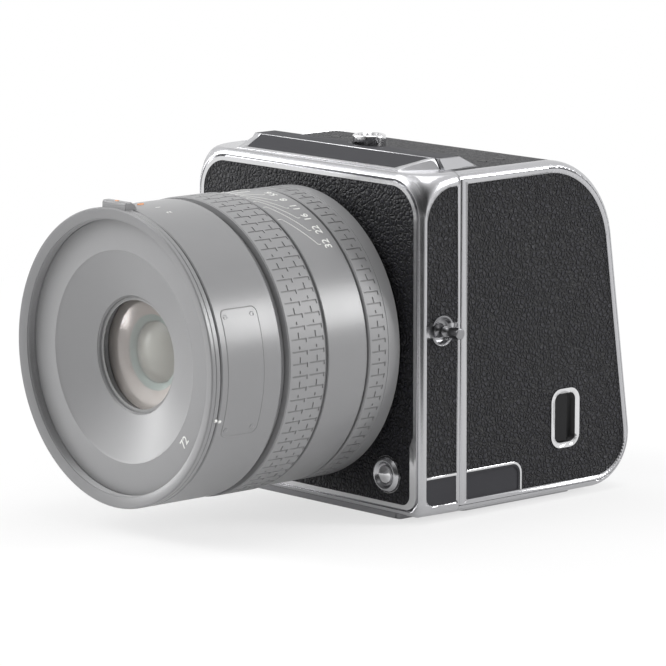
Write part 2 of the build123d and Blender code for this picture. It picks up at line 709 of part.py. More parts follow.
wrap_front_y = back_front_y + wrap_start
wrap_end = 9.5           # lower end of the top leather, up the slope from where the bend ends
rear_origin_y = crown_y + crown_r * cos(lean)
rear_origin_z = crown_z + crown_r * sin(lean)


def rear_plane(depth=0.0):
    """Plane of the slanted rear face, its Y pointing down the slope, sunk by a depth."""
    return Plane(origin=(0, rear_origin_y - depth * cos(lean), rear_origin_z - depth * sin(lean)),
                 x_dir=(1, 0, 0), z_dir=(0, cos(lean), sin(lean)))


def back_outline(x, inset, front, front_r=0.0, extra=0.0):
    """Side view of the digital back, drawn in by an inset and by a further amount at the rear."""
    reach = crown_r - inset - extra
    low = base_z + inset
    high = top_z - inset
    head = crown_y + (reach - (high - crown_z) * sin(lean)) / cos(lean)
    heel = crown_y + (reach + (crown_z - low) * sin(lean)) / cos(lean)
    return rounded(facing_side(x), [(front, low), (heel, low), (head, high), (front, high)],
                   [front_r, heel_r - inset, reach, front_r])


def port_outline(x, gap):
    """Outline of the port cover, square on its hinged edge."""
    front, rear = port_y[0] + gap, port_y[1] - gap
    low, high = port_z[0] + gap, port_z[1] - gap
    return rounded(facing_side(x), [(front, low), (rear, low), (rear, high), (front, high)],
                   [0, port_corner - gap, port_corner - gap, 0])


def top_cover(outer, inner):
    """Sheet over the top and the bend, without the bridge and the knob's recess."""
    with BuildPart() as sheet:
        extrude(back_outline(-wrap_half, outer, wrap_front_y), amount=2 * wrap_half)
        extrude(back_outline(-wrap_half - overrun, inner, wrap_front_y - overrun),
                amount=2 * (wrap_half + overrun),
                mode=Mode.SUBTRACT)
        cut = Plane(origin=(0, rear_origin_y - wrap_end * sin(lean), rear_origin_z + wrap_end * cos(lean)),
                    x_dir=(1, 0, 0), z_dir=(0, -sin(lean), cos(lean)))
        split(bisect_by=cut, keep=Keep.TOP)
    return sheet.part


def without_bridge(sheet, gap):
    """The same sheet cut out round the bridge's foot and the knob's recess."""
    with BuildPart() as cut_sheet:
        add(sheet)
        foot = rear_foot_half + gap
        extrude(panel(facing_up(roof_z), (-foot, foot), (wrap_front_y - overrun, bridge_rear_y + gap), 0),
                amount=2 * wall, mode=Mode.SUBTRACT)
        extrude(recess_outline(roof_z, gap), amount=2 * wall, mode=Mode.SUBTRACT)
    return cut_sheet.part


# Screen on the slanted rear face
screen_inset = 5.4       # from the sides to the screen
screen_gap = 0.3
screen_rim = 2.0         # frame round the glass
screen_lip = 2.6         # frame above and below the glass
screen_room = 3.2        # room above the screen for its turn
hinge_bar_grip = 3.0     # length of the hinge bar inside the screen and inside the housing
screen_x = side_plane - screen_inset
screen_y = (-5.3, 41.1)                  # upper and lower edge, down the slope from where the bend ends
screen_thick = 5.6
screen_pocket_x = screen_x + screen_gap
screen_pocket_y = (screen_y[0] - screen_room, screen_y[1] + screen_gap)
screen_floor = 0.6       # gap behind the screen
screen_pocket = screen_thick + screen_floor
glass_x = screen_x - screen_rim
glass_y = (screen_y[0] + screen_lip, screen_y[1] - screen_lip)
glass_seat = 0.9
glass_thick = glass_seat - fit
glass_corner = 1.5
hinge_bar_r = 0.8
hinge_bar_x = (screen_x - hinge_bar_grip, screen_x + hinge_bar_grip)

# Buttons under the screen
key_drop = 5.9           # from the screen to the middle of the buttons
key_y = screen_y[1] + key_drop
key_pitch = 15.0
key_places = [key_pitch * step for step in (-2, -1, 0, 1, 2)]
key_half_w = 5.5
key_half_h = 2.3
key_round = 0.8
key_gap = 0.1
key_out = 0.4
key_neck = 2.2
key_flange_grow = 0.7
key_room_grow = key_flange_grow + key_gap + seat_gap
key_flange = 1.0

# Door with its catch, and the space behind it
latch_y = (36.46, 47.05)
latch_z = (13.9, 30.0)
latch_corner = 3.5
latch_inner_y = (37.76, 45.34)
latch_inner_z = (15.4, 28.7)
latch_inner_corner = 2.0
latch_floor = 0.4        # floor of the bright frame
latch_floor_x = (door_x + proud, door_x + proud + latch_floor)
thumb_y = (37.9, 42.6)
thumb_sink = 0.5         # the thumb piece lies this much below the side
thumb_x = (latch_floor_x[1] + fit, side_plane - thumb_sink)
thumb_gap = 0.15
thumb_round = 1.6
rib_count = 4
rib_height = 0.3
rib_width = 0.5
battery_y = (14.3, 37.7)
battery_z = (34.3, 79.7)
battery_length = 59.4
bay_sink = 0.3           # battery and card reader lie this far behind the door
battery_x = (door_x - bay_sink - battery_length, door_x - bay_sink)
battery_corner = 2.0
card_y = (17.0, 43.0)
card_z = (24.0, 28.0)
card_length = 36.9
card_x = (door_x - bay_sink - card_length, door_x - bay_sink)
card_slot_y = (17.6, 42.4)
card_slot_z = (24.9, 27.1)
bay_gap = 0.2

# Cover of the ports on the left side
port_y = (18.0, 32.0)
port_z = (20.0, 44.0)
port_corner = 1.5
port_depth = 6.0
cover_thick = 1.4
cover_knuckle_r = 0.7
port_slot_y = (22.0, 28.0)
port_slot_z = (24.0, 40.0)

# Raised foot under the digital back
rib_foot_gap = 0.6
rib_foot_length = 40.7
rib_foot_inset = 6.3     # from the sides to the foot
rib_foot_half = side_plane - rib_foot_inset
rib_foot_y = (foot_y[1] + rib_foot_gap, foot_y[1] + rib_foot_gap + rib_foot_length)
rib_foot_corner = 2.0

with BuildPart() as back_housing:
    extrude(back_outline(-side_plane, 0, back_front_y), amount=2 * side_plane)
    rims = [edge for edge in back_housing.faces().filter_by(Axis.X).edges()
            if edge.center().Y > back_front_y + fit]
    fillet(rims, roll)
    # hollow, open to the front
    extrude(back_outline(-cavity_half, wall, parting_y, 0, rear_extra), amount=cavity_half + inner_wall_x,
            mode=Mode.SUBTRACT)
    # door opening, with openings for the battery and the card in its floor
    extrude(back_outline(door_floor_x, door_inset - seat_gap, parting_y),
            amount=side_plane - door_floor_x + overrun,
            mode=Mode.SUBTRACT)
    extrude(panel(facing_side(inner_wall_x), (battery_y[0] - bay_gap, battery_y[1] + bay_gap),
                  (battery_z[0] - bay_gap, battery_z[1] + bay_gap), battery_corner), amount=wall + overrun,
            mode=Mode.SUBTRACT)
    extrude(panel(facing_side(inner_wall_x), (card_y[0] - fit, card_y[1] + fit),
                  (card_z[0] - fit, card_z[1] + fit), 0), amount=wall + overrun, mode=Mode.SUBTRACT)
    extrude(disc(facing_up(hinge_pin_z[0] - fit), knuckle_x, knuckle_y, hinge_pin_r + fit),
            amount=hinge_pin_z[1] - hinge_pin_z[0] + 2 * fit, mode=Mode.SUBTRACT)
    # seats of the left leather and the top leather
    extrude(back_outline(-side_seat_x, border, leather_front_y, small_round), amount=-outward,
            mode=Mode.SUBTRACT)
    add(without_bridge(top_cover(-overrun, leather + wrap_sink), 0), mode=Mode.SUBTRACT)
    # slot and seat of the release knob
    extrude(recess_outline(knob_plate_z[0], fit), amount=wall, mode=Mode.SUBTRACT)
    extrude(panel(facing_up(roof_z - overrun), (-stem_r - running, slide_travel + stem_r + running),
                  (knob_y - stem_r - running, knob_y + stem_r + running), 0), amount=wall + overrun,
            mode=Mode.SUBTRACT)
    # screen pocket with the bores of its hinge
    extrude(panel(rear_plane(screen_pocket), (-screen_pocket_x, screen_pocket_x), screen_pocket_y,
                  small_round),
            amount=screen_pocket + 2 * overrun, mode=Mode.SUBTRACT)
    hinge_plane = rear_plane(screen_thick / 2)
    bar = Plane(origin=hinge_plane.from_local_coords((-hinge_bar_x[1] - fit, screen_y[0], 0)),
                x_dir=(0, 1, 0),
                z_dir=(1, 0, 0))
    extrude(disc(bar, 0, 0, hinge_bar_r + fit), amount=2 * (hinge_bar_x[1] + fit), mode=Mode.SUBTRACT)
    # holes of the buttons, wider inside
    for place in key_places:
        half_w = key_half_w + key_gap
        half_h = key_half_h + key_gap
        extrude(panel(rear_plane(key_neck), (place - half_w, place + half_w),
                      (key_y - half_h, key_y + half_h),
                      key_round), amount=key_neck + overrun, mode=Mode.SUBTRACT)
        half_w = key_half_w + key_room_grow
        half_h = key_half_h + key_room_grow
        extrude(panel(rear_plane(wall + rear_extra + overrun), (place - half_w, place + half_w),
                      (key_y - half_h, key_y + half_h), 0),
                      amount=wall + rear_extra + overrun - key_neck + fit,
                mode=Mode.SUBTRACT)
    # recess of the ports
    extrude(panel(facing_side(-side_plane + port_depth), port_slot_y, port_slot_z, port_corner),
            amount=-port_depth, mode=Mode.SUBTRACT)
    extrude(port_outline(-side_seat_x + cover_thick, 0), amount=-wall, mode=Mode.SUBTRACT)
    # room for the tripod socket
    extrude(disc(facing_up(0), 0, 0, socket_r + seat_gap), amount=socket_top_z + fit, mode=Mode.SUBTRACT)
finish(back_housing.part, "back_housing")

with BuildPart() as top_leather:
    add(without_bridge(top_cover(wrap_sink, leather + wrap_sink), seat_gap))
finish(top_leather.part, "top_leather")

with BuildPart() as back_leather_left:
    extrude(back_outline(-side_seat_x, border, leather_front_y, small_round), amount=side_seat_x - leather_x)
    extrude(port_outline(-side_seat_x, 0), amount=-outward, mode=Mode.SUBTRACT)
finish(back_leather_left.part, "back_leather_left")

with BuildPart() as port_cover:
    edge = port_y[0] + seat_gap + cover_knuckle_r
    extrude(port_outline(-leather_x, seat_gap), amount=cover_thick)
    extrude(panel(facing_side(-leather_x), (port_y[0], edge), port_z, 0), amount=cover_thick,
            mode=Mode.SUBTRACT)
    extrude(disc(facing_up(port_z[0] + seat_gap), -leather_x + cover_knuckle_r, edge, cover_knuckle_r),
            amount=port_z[1] - port_z[0] - 2 * seat_gap)
finish(port_cover.part, "port_cover")

with BuildPart() as side_door:
    extrude(back_outline(door_x, door_inset, knuckle_y), amount=side_plane - door_x)
    low = base_z + door_inset
    extrude(disc(facing_up(low), knuckle_x, knuckle_y, knuckle_r), amount=top_z - door_inset - low)
    # seats of the leather and the bare plate, window of the catch
    extrude(back_outline(side_seat_x, border, leather_front_y, small_round), amount=outward,
            mode=Mode.SUBTRACT)
    extrude(panel(facing_side(door_x), latch_y, latch_z, latch_corner), amount=wall + overrun,
            mode=Mode.SUBTRACT)
    extrude(disc(facing_up(low - overrun), knuckle_x, knuckle_y, hinge_pin_r + running),
            amount=top_z - door_inset - low + 2 * overrun, mode=Mode.SUBTRACT)
finish(side_door.part, "side_door")

with BuildPart() as door_hinge_pin:
    extrude(disc(facing_up(hinge_pin_z[0]), knuckle_x, knuckle_y, hinge_pin_r),
            amount=hinge_pin_z[1] - hinge_pin_z[0])
finish(door_hinge_pin.part, "door_hinge_pin")

with BuildPart() as door_leather:
    extrude(back_outline(side_seat_x, border, leather_front_y, small_round), amount=leather_x - side_seat_x)
    extrude(panel(facing_side(side_seat_x), latch_y, latch_z, latch_corner), amount=outward,
            mode=Mode.SUBTRACT)
    corners = [(leather_front_y - overrun, 0), (back_plate_y[1] + plate_bar, 0),
               (back_plate_y[1] + plate_bar, back_plate_z + plate_bar),
               (leather_front_y - overrun, back_plate_z + plate_bar)]
    extrude(rounded(facing_side(side_seat_x), corners, [0, 0, back_plate_corner, 0]), amount=outward,
            mode=Mode.SUBTRACT)
finish(door_leather.part, "door_leather")

with BuildPart() as door_plate:
    low = base_z + border
    corners = [(leather_front_y, low), (back_plate_y[1] + plate_bar - proud, low),
               (back_plate_y[1] + plate_bar - proud, back_plate_z + plate_bar - proud),
               (leather_front_y, back_plate_z + plate_bar - proud)]
    extrude(rounded(facing_side(side_seat_x), corners,
                    [small_round, small_round, back_plate_corner, small_round]),
            amount=side_plane - side_seat_x)
    # the plate's face lies below the bright bar round it
    corners = [(back_plate_y[0], back_plate_low_z), (back_plate_y[1], back_plate_low_z),
               (back_plate_y[1], back_plate_z), (back_plate_y[0], back_plate_z)]
    extrude(rounded(facing_side(plate_x), corners, [small_round, small_round, back_plate_corner - small_round,
                                                    small_round]), amount=outward, mode=Mode.SUBTRACT)
finish(door_plate.part, "door_plate")

with BuildPart() as latch_bezel:
    extrude(panel(facing_side(latch_floor_x[0]), (latch_y[0] + fit, latch_y[1] - fit),
                  (latch_z[0] + fit, latch_z[1] - fit), latch_corner),
                  amount=side_plane + proud - latch_floor_x[0])
    extrude(panel(facing_side(latch_floor_x[1]), latch_inner_y, latch_inner_z, latch_inner_corner),
            amount=wall + overrun, mode=Mode.SUBTRACT)
finish(latch_bezel.part, "latch_bezel")

with BuildPart() as door_latch:
    thumb_z = (latch_inner_z[0] + thumb_gap, latch_inner_z[1] - thumb_gap)
    extrude(panel(facing_side(thumb_x[0]), thumb_y, thumb_z, thumb_round), amount=thumb_x[1] - thumb_x[0])
    step = (thumb_z[1] - thumb_z[0]) / (rib_count + 1)
    for index in range(rib_count):
        middle = thumb_z[0] + step * (index + 1)
        extrude(panel(facing_side(thumb_x[1]), (thumb_y[0] + small_round, thumb_y[1] - small_round),
                      (middle - rib_width / 2, middle + rib_width / 2), 0), amount=rib_height)
finish(door_latch.part, "door_latch")

with BuildPart() as battery:
    extrude(panel(facing_side(battery_x[0]), battery_y, battery_z, battery_corner),
            amount=battery_x[1] - battery_x[0])
finish(battery.part, "battery")

with BuildPart() as card_reader:
    extrude(panel(facing_side(card_x[0]), card_y, card_z, 0), amount=card_x[1] - card_x[0])
    extrude(panel(facing_side(card_x[0] + wall), card_slot_y, card_slot_z, 0), amount=card_x[1] - card_x[0],
            mode=Mode.SUBTRACT)
finish(card_reader.part, "card_reader")

with BuildPart() as screen_frame:
    extrude(panel(rear_plane(screen_thick), (-screen_x, screen_x), screen_y, 0), amount=screen_thick)
    edge_bar = Plane(origin=hinge_plane.from_local_coords((-screen_x, screen_y[0], 0)), x_dir=(0, 1, 0),
                     z_dir=(1, 0, 0))
    extrude(disc(edge_bar, 0, 0, screen_thick / 2), amount=2 * screen_x)
    extrude(panel(rear_plane(glass_seat), (-glass_x, glass_x), glass_y, glass_corner),
            amount=glass_seat + overrun,
            mode=Mode.SUBTRACT)
    extrude(disc(bar, 0, 0, hinge_bar_r + running), amount=hinge_bar_x[1] - hinge_bar_x[0] + fit,
            mode=Mode.SUBTRACT)
    far_bar = Plane(origin=hinge_plane.from_local_coords((hinge_bar_x[0], screen_y[0], 0)), x_dir=(0, 1, 0),
                    z_dir=(1, 0, 0))
    extrude(disc(far_bar, 0, 0, hinge_bar_r + running), amount=hinge_bar_x[1] - hinge_bar_x[0],
            mode=Mode.SUBTRACT)
finish(screen_frame.part, "screen_frame")

with BuildPart() as screen_glass:
    gap = fit * 2
    extrude(panel(rear_plane(glass_seat), (-glass_x + gap, glass_x - gap),
                  (glass_y[0] + gap, glass_y[1] - gap),
                  glass_corner), amount=glass_thick)
finish(screen_glass.part, "screen_glass")

with BuildPart() as screen_hinge_pins:
    for start in (-hinge_bar_x[1], hinge_bar_x[0] + fit):
        place = Plane(origin=hinge_plane.from_local_coords((start, screen_y[0], 0)), x_dir=(0, 1, 0),
                      z_dir=(1, 0, 0))
        extrude(disc(place, 0, 0, hinge_bar_r), amount=hinge_bar_x[1] - hinge_bar_x[0] - fit)
finish(screen_hinge_pins.part, "screen_hinge_pins")

for number, place in enumerate(key_places, start=1):
    with BuildPart() as rear_button:
        extrude(panel(rear_plane(key_neck + fit), (place - key_half_w, place + key_half_w),
                      (key_y - key_half_h, key_y + key_half_h), key_round), amount=key_neck + fit + key_out)
        half_w = key_half_w + key_flange_grow
        half_h = key_half_h + key_flange_grow
        extrude(panel(rear_plane(key_neck + fit + key_flange), (place - half_w, place + half_w),
                      (key_y - half_h, key_y + half_h), 0), amount=key_flange)
    finish(rear_button.part, "rear_button_" + str(number))

# Image sensor behind the front plate of the back
front_plate = 1.7        # thickness of the plate
glass_depth = 0.74       # the sensor's glass lies this far behind the plate
sensor_thick = 2.6
front_plate_back_y = back_front_y + front_plate
sensor_half_w = 21.9
sensor_half_h = 16.45
sensor_rim = 3.1
sensor_y = front_plate_back_y + glass_depth
sensor_back_y = front_plate_back_y + sensor_thick
with BuildPart() as back_front_plate:
    extrude(body_outline(front_plate_back_y, cavity_half - proud, floor_z + proud, roof_z - proud, roll,
                         roll),
            amount=front_plate_back_y - back_front_y)
    extrude(panel(on_lens(front_plate_back_y), (-sensor_half_w - small_round, sensor_half_w + small_round),
                  (-sensor_half_h - small_round, sensor_half_h + small_round), small_round),
                  amount=wall + overrun,
            mode=Mode.SUBTRACT)
    extrude(panel(facing_front(front_plate_back_y), (inner_wall_x - proud, side_plane), (0, top_z), 0),
            amount=wall,
            mode=Mode.SUBTRACT)
    extrude(disc(facing_up(0), 0, 0, socket_r + seat_gap), amount=socket_top_z + fit, mode=Mode.SUBTRACT)
finish(back_front_plate.part, "back_front_plate")

with BuildPart() as image_sensor:
    extrude(panel(on_lens(sensor_back_y), (-sensor_half_w - sensor_rim, sensor_half_w + sensor_rim),
                  (-sensor_half_h - sensor_rim, sensor_half_h + sensor_rim), small_round),
            amount=sensor_back_y - front_plate_back_y)
    extrude(panel(on_lens(sensor_y), (-sensor_half_w, sensor_half_w), (-sensor_half_h, sensor_half_h), 0),
            amount=wall, mode=Mode.SUBTRACT)
finish(image_sensor.part, "image_sensor")

with BuildPart() as base_rib:
    extrude(panel(facing_up(0), (-rib_foot_half, rib_foot_half), rib_foot_y, rib_foot_corner), amount=base_z)
finish(base_rib.part, "base_rib")

# Lens: places along the axis are distances ahead of the front leather
control_start = 2.2      # from the front leather to the first ring
ring_gap = 0.3           # gap between neighbouring rings
control_length = 10.8
scale_length = 14.9
collar_rear = 0.8        # lower collars at both ends of the scale barrel
collar_front = 0.9
collar_sink = 0.7
focus_length = 12.4
barrel_length = 22.2
filter_length = 2.95
barrel_wall = 2.3        # thickness of the rings round the core
core_wall = 2.0
core_r = barrel_r - barrel_wall
core_bore_r = core_r - core_wall
ring_bore_r = core_r + running
control_y = (front_y - control_start, front_y - control_start - control_length)
scale_y = (control_y[1] - ring_gap, control_y[1] - ring_gap - scale_length)
focus_y = (scale_y[1] - ring_gap, scale_y[1] - ring_gap - focus_length)
barrel_y = (focus_y[1] - ring_gap, focus_y[1] - ring_gap - barrel_length)
filter_y = (barrel_y[1] - ring_gap, barrel_y[1] - ring_gap - filter_length)
control_r = barrel_r - proud
scale_r = barrel_r - proud
grip_rise = 0.3          # the focus ring stands this much out of the barrel
focus_r = barrel_r + grip_rise
filter_r = barrel_r
groove_sink = 1.6        # dark recess between the focus ring and the front barrel
groove_length = 2.1
groove_r = barrel_r - groove_sink
groove_end_y = barrel_y[0] - groove_length
groove_taper = 0.5
chamfer_size = 0.3
mount_plate_step = 0.2   # the lens plate is this much smaller than the core
mount_plate_thick = 1.6
mount_plate_r = core_r - mount_plate_step
mount_plate_y = flange_y - mount_plate_thick
core_short = 1.0         # the core ends this far behind the front of the barrel
core_front_y = barrel_y[1] + core_short
pin_hole_y = pin_front_y - fit
thread_wall = 2.9        # from the thread to the outside
filter_thread_r = filter_r - thread_wall
filter_depth = 2.9
filter_edge = 0.75       # flat front edge of the ring
filter_lip_r = filter_r - filter_edge
filter_lip = 0.65
filter_line = 0.2        # fine line cut round the ring
filter_line_back = 1.35  # from the front of the ring to that line
thread_end = 0.3         # chamfer at the end of the thread
shelf_width = 2.4        # shelf between the thread and the cone's flat
shelf_rise = 0.25
bezel_grip = 0.6         # the cone's flange lies this deep in the core
cone_flat = 6.2          # width of the flat round the cone
cone_rise = 0.9          # thickness of that flat
cone_lift = 0.3          # the cone starts this far behind the flat
cone_depth = 3.7
shelf_r = filter_thread_r - thread_end - shelf_width
cone_outer_r = shelf_r - proud
cone_flat_y = core_front_y - cone_rise
cone_r = cone_outer_r - cone_flat
cone_y = cone_flat_y + cone_lift
cone_back = 0.9          # wall of the cone
glass_r = 15.5           # front glass
glass_edge = 4.0         # its thickness at the rim
glass_bulge = 1.6
glass_sink = 2.1         # its rim lies this far behind the mouth of the cone
mouth_r = glass_r - fit
mouth_y = cone_y + cone_depth
glass_rim_y = mouth_y + glass_sink
glass_crown_y = glass_rim_y - glass_bulge
glass_back_y = glass_rim_y + glass_edge
cell_wall = 2.0          # black cell round the front glass
cell_lip = 0.5           # thickness of its lip
cell_lip_width = 1.3
cell_gap = 0.4           # gap between the lip and the rim of the glass
cell_length = 11.1
cell_flange_back = 4.6   # from its front end to the flange that reaches the core
cell_flange = 1.5
cell_r = glass_r + cell_wall
cell_seat_r = glass_r + proud
cell_lip_r = glass_r - cell_lip_width
cell_y = (glass_rim_y - cell_gap - cell_lip, glass_rim_y - cell_gap - cell_lip + cell_length)
cell_flange_y = (cell_y[0] + cell_flange_back, cell_y[0] + cell_flange_back + cell_flange)
tab_half = 4.75          # index tab on the filter ring
tab_rise = 1.8
tab_root = 0.9
tab_back = 0.55          # from the front of the ring to the tab
tab_length = 4.1
index_r = barrel_r + tab_rise
index_edge_r = barrel_r - tab_root
index_y = (filter_y[1] + tab_back, filter_y[1] + tab_back + tab_length)
plate_half = 16.1        # inset plate on the side of the barrel
plate_length = 12.0
plate_inset = 2.1        # from the front of the barrel to the plate
plate_depth = 0.55
plate_corner = 1.6
plate_y = (barrel_y[1] + plate_inset, barrel_y[1] + plate_inset + plate_length)
plate_floor_r = barrel_r - plate_depth
rivet_r = 0.65
rivet_front = 1.3        # from the plate's edges to its rivets: front, rear and ends
rivet_rear = 1.9
rivet_end = 1.65
rivet_outer_r = barrel_r + seat_gap
rivet_turn = asin((plate_half - rivet_end) / barrel_r)
rivet_places = [(y, side * rivet_turn) for y in (plate_y[0] + rivet_front, plate_y[1] - rivet_rear)
                for side in (1, -1)]
rear_glass_r = 18.0
rear_cell_back = 0.6     # from the lens's seat to the holder of the rear glass
rear_cell = 1.8
rear_glass_rise = 0.8    # the glass stands this far out of its holder
rear_cell_y = (flange_y + rear_cell_back, flange_y + rear_cell_back + rear_cell)
rear_glass_y = (rear_cell_y[0] - rear_glass_rise, rear_cell_y[1] + rear_glass_rise)


def ring_section(places, inner, outer):
    """Half section of a ring with both outer edges chamfered."""
    rear, front = places
    return half_section([(rear, inner), (rear, outer - chamfer_size), (rear - chamfer_size, outer),
                         (front + chamfer_size, outer), (front, outer - chamfer_size), (front, inner)])


def index_tab(rear, front, rear_slope, front_slope):
    """Part of the index tab on top of the lens, with its ends slanted."""
    with BuildPart() as tab:
        revolve(half_section([(rear, index_edge_r), (rear - rear_slope, index_r),
                              (front + front_slope, index_r), (front, index_edge_r)]), axis=lens_axis)
        extrude(panel(facing_front(0), (-tab_half, tab_half), (lens_z, lens_z + 2 * index_r), 0),
                amount=-2 * index_y[0], mode=Mode.INTERSECT)
    return tab.part


with BuildPart() as lens_mount_plate:
    revolve(half_section([(flange_y, lens_tail_r), (flange_y, mount_plate_r), (mount_plate_y, mount_plate_r),
                          (mount_plate_y, lens_tail_bore_r), (rear_cell_y[0], lens_tail_bore_r),
                          (rear_cell_y[0], rear_glass_r + fit), (rear_cell_y[1], rear_glass_r + fit),
                          (rear_cell_y[1], lens_tail_bore_r), (lens_tail_y, lens_tail_bore_r),
                          (lens_tail_y, lens_tail_r)]), axis=lens_axis)
    with BuildPart(mode=Mode.PRIVATE) as tabs:
        revolve(tube(lens_tail_y, tab_front_y, lens_tail_bore_r + overrun, tab_r), axis=lens_axis)
        extrude(wedges(lens_tail_y, tab_angles, tab_span, 2 * tab_r), amount=lens_tail_y - tab_front_y,
                mode=Mode.INTERSECT)
    add(tabs.part)
    extrude(disc(facing_front(flange_y), pin_x, pin_z, pin_r + running), amount=flange_y - pin_hole_y + fit,
            mode=Mode.SUBTRACT)
finish(lens_mount_plate.part, "lens_mount_plate")

with BuildPart() as lens_core:
    revolve(tube(mount_plate_y, core_front_y, core_bore_r, core_r), axis=lens_axis)
finish(lens_core.part, "lens_core")

with BuildPart() as control_ring:
    revolve(ring_section(control_y, ring_bore_r, control_r), axis=lens_axis)
finish(control_ring.part, "control_ring")

with BuildPart() as scale_barrel:
    revolve(ring_section((scale_y[0] - collar_rear, scale_y[1] + collar_front), core_r + fit, scale_r),
            axis=lens_axis)
    revolve(tube(scale_y[0], scale_y[1], core_r + fit, scale_r - collar_sink), axis=lens_axis)
finish(scale_barrel.part, "scale_barrel")

with BuildPart() as focus_ring:
    revolve(ring_section(focus_y, ring_bore_r, focus_r), axis=lens_axis)
finish(focus_ring.part, "focus_ring")

with BuildPart() as front_barrel:
    revolve(half_section([(barrel_y[0], core_r + fit), (barrel_y[0], groove_r), (groove_end_y, groove_r),
                          (groove_end_y - groove_taper, barrel_r), (barrel_y[1] + chamfer_size, barrel_r),
                          (barrel_y[1], barrel_r - chamfer_size), (barrel_y[1], core_r + fit)]),
                          axis=lens_axis)
    with BuildPart(mode=Mode.PRIVATE) as pocket:
        revolve(tube(plate_y[1], plate_y[0], plate_floor_r, barrel_r + overrun), axis=lens_axis)
        extrude(panel(facing_side(0), (plate_y[0], plate_y[1]), (lens_z - plate_half, lens_z + plate_half),
                      plate_corner), amount=2 * barrel_r, mode=Mode.INTERSECT)
    add(pocket.part, mode=Mode.SUBTRACT)
    add(index_tab(index_y[1], barrel_y[1], chamfer_size, 0))
finish(front_barrel.part, "front_barrel")

with BuildPart() as barrel_plate:
    with BuildSketch(on_lens(plate_y[1] + overrun)):
        Circle(barrel_r + fit)
        Circle(plate_floor_r + fit, mode=Mode.SUBTRACT)
    extrude(amount=plate_y[1] - plate_y[0] + 2 * overrun)
    extrude(panel(facing_side(core_bore_r / 2), (plate_y[0] + fit, plate_y[1] - fit),
                  (lens_z - plate_half + fit, lens_z + plate_half - fit), plate_corner), amount=barrel_r,
            mode=Mode.INTERSECT)
    for y, turn in rivet_places:
        spot = Plane(origin=(core_r * cos(turn), y, lens_z + core_r * sin(turn)), x_dir=(0, 1, 0),
                     z_dir=(cos(turn), 0, sin(turn)))
        extrude(disc(spot, 0, 0, rivet_r + fit), amount=2 * wall, mode=Mode.SUBTRACT)
finish(barrel_plate.part, "barrel_plate")

with BuildPart() as plate_rivets:
    for y, turn in rivet_places:
        spot = Plane(origin=(plate_floor_r * cos(turn), y, lens_z + plate_floor_r * sin(turn)),
                     x_dir=(0, 1, 0),
                     z_dir=(cos(turn), 0, sin(turn)))
        extrude(disc(spot, 0, 0, rivet_r), amount=rivet_outer_r - plate_floor_r)
finish(plate_rivets.part, "plate_rivets")

with BuildPart() as filter_ring:
    rear, front = filter_y
    seat_y = front + filter_depth
    line_y = front + filter_line_back
    back_y = core_front_y - fit
    revolve(half_section([(rear, core_r), (rear, filter_r - chamfer_size), (rear - chamfer_size, filter_r),
                          (line_y + filter_line, filter_r),
                          (line_y + filter_line / 2, filter_r - filter_line), (line_y, filter_r),
                          (front + chamfer_size, filter_r), (front, filter_r - chamfer_size),
                          (front, filter_lip_r), (front + filter_lip, filter_thread_r),
                          (seat_y, filter_thread_r), (seat_y + thread_end, filter_thread_r - thread_end),
                          (seat_y + thread_end + shelf_rise, shelf_r), (back_y, shelf_r), (back_y, core_r)]),
            axis=lens_axis)
    add(index_tab(filter_y[0], index_y[0], 0, 2 * chamfer_size))
finish(filter_ring.part, "filter_ring")

with BuildPart() as cone_bezel:
    flange_r = core_bore_r - fit
    revolve(half_section([(core_front_y + bezel_grip, flange_r), (core_front_y, flange_r),
                          (core_front_y, cone_outer_r), (cone_flat_y, cone_outer_r),
                          (cone_flat_y, cone_r + cone_back), (cone_y, cone_r), (mouth_y, mouth_r),
                          (mouth_y + cone_back, mouth_r), (cone_y + cone_back, cone_r)]), axis=lens_axis)
finish(cone_bezel.part, "cone_bezel")

with BuildPart() as front_cell:
    revolve(half_section([(cell_y[0], cell_lip_r), (cell_y[0], cell_r), (cell_flange_y[0], cell_r),
                          (cell_flange_y[0], core_bore_r - fit), (cell_flange_y[1], core_bore_r - fit),
                          (cell_flange_y[1], cell_r), (cell_y[1], cell_r), (cell_y[1], cell_seat_r),
                          (cell_y[0] + cell_lip, cell_seat_r), (cell_y[0] + cell_lip, cell_lip_r)]),
                          axis=lens_axis)
finish(front_cell.part, "front_cell")

with BuildPart() as front_glass:
    with BuildSketch(Plane.YZ):
        with BuildLine():
            rise = glass_rim_y - glass_crown_y
            ball_r = (glass_r * glass_r + rise * rise) / (2 * rise)
            middle_r = glass_r / 2
            middle_y = glass_crown_y + ball_r - sqrt(ball_r * ball_r - middle_r * middle_r)
            ThreePointArc((glass_crown_y, lens_z), (middle_y, lens_z + middle_r),
                          (glass_rim_y, lens_z + glass_r))
            Polyline((glass_rim_y, lens_z + glass_r), (glass_back_y, lens_z + glass_r),
                     (glass_back_y, lens_z),
                     (glass_crown_y, lens_z))
        make_face()
    revolve(axis=lens_axis)
finish(front_glass.part, "front_glass")

with BuildPart() as rear_glass:
    extrude(disc(on_lens(rear_glass_y[1]), 0, 0, rear_glass_r), amount=rear_glass_y[1] - rear_glass_y[0])
finish(rear_glass.part, "rear_glass")
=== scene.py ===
"""Finish of a medium format digital camera: its metals, leather and glass, the turned lens rings with
their cut grips, the printed scale and the small trim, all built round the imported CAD."""
import json
from math import asin, atan2, cos, degrees, pi, radians, sin

import bpy
from mathutils import Matrix, Vector


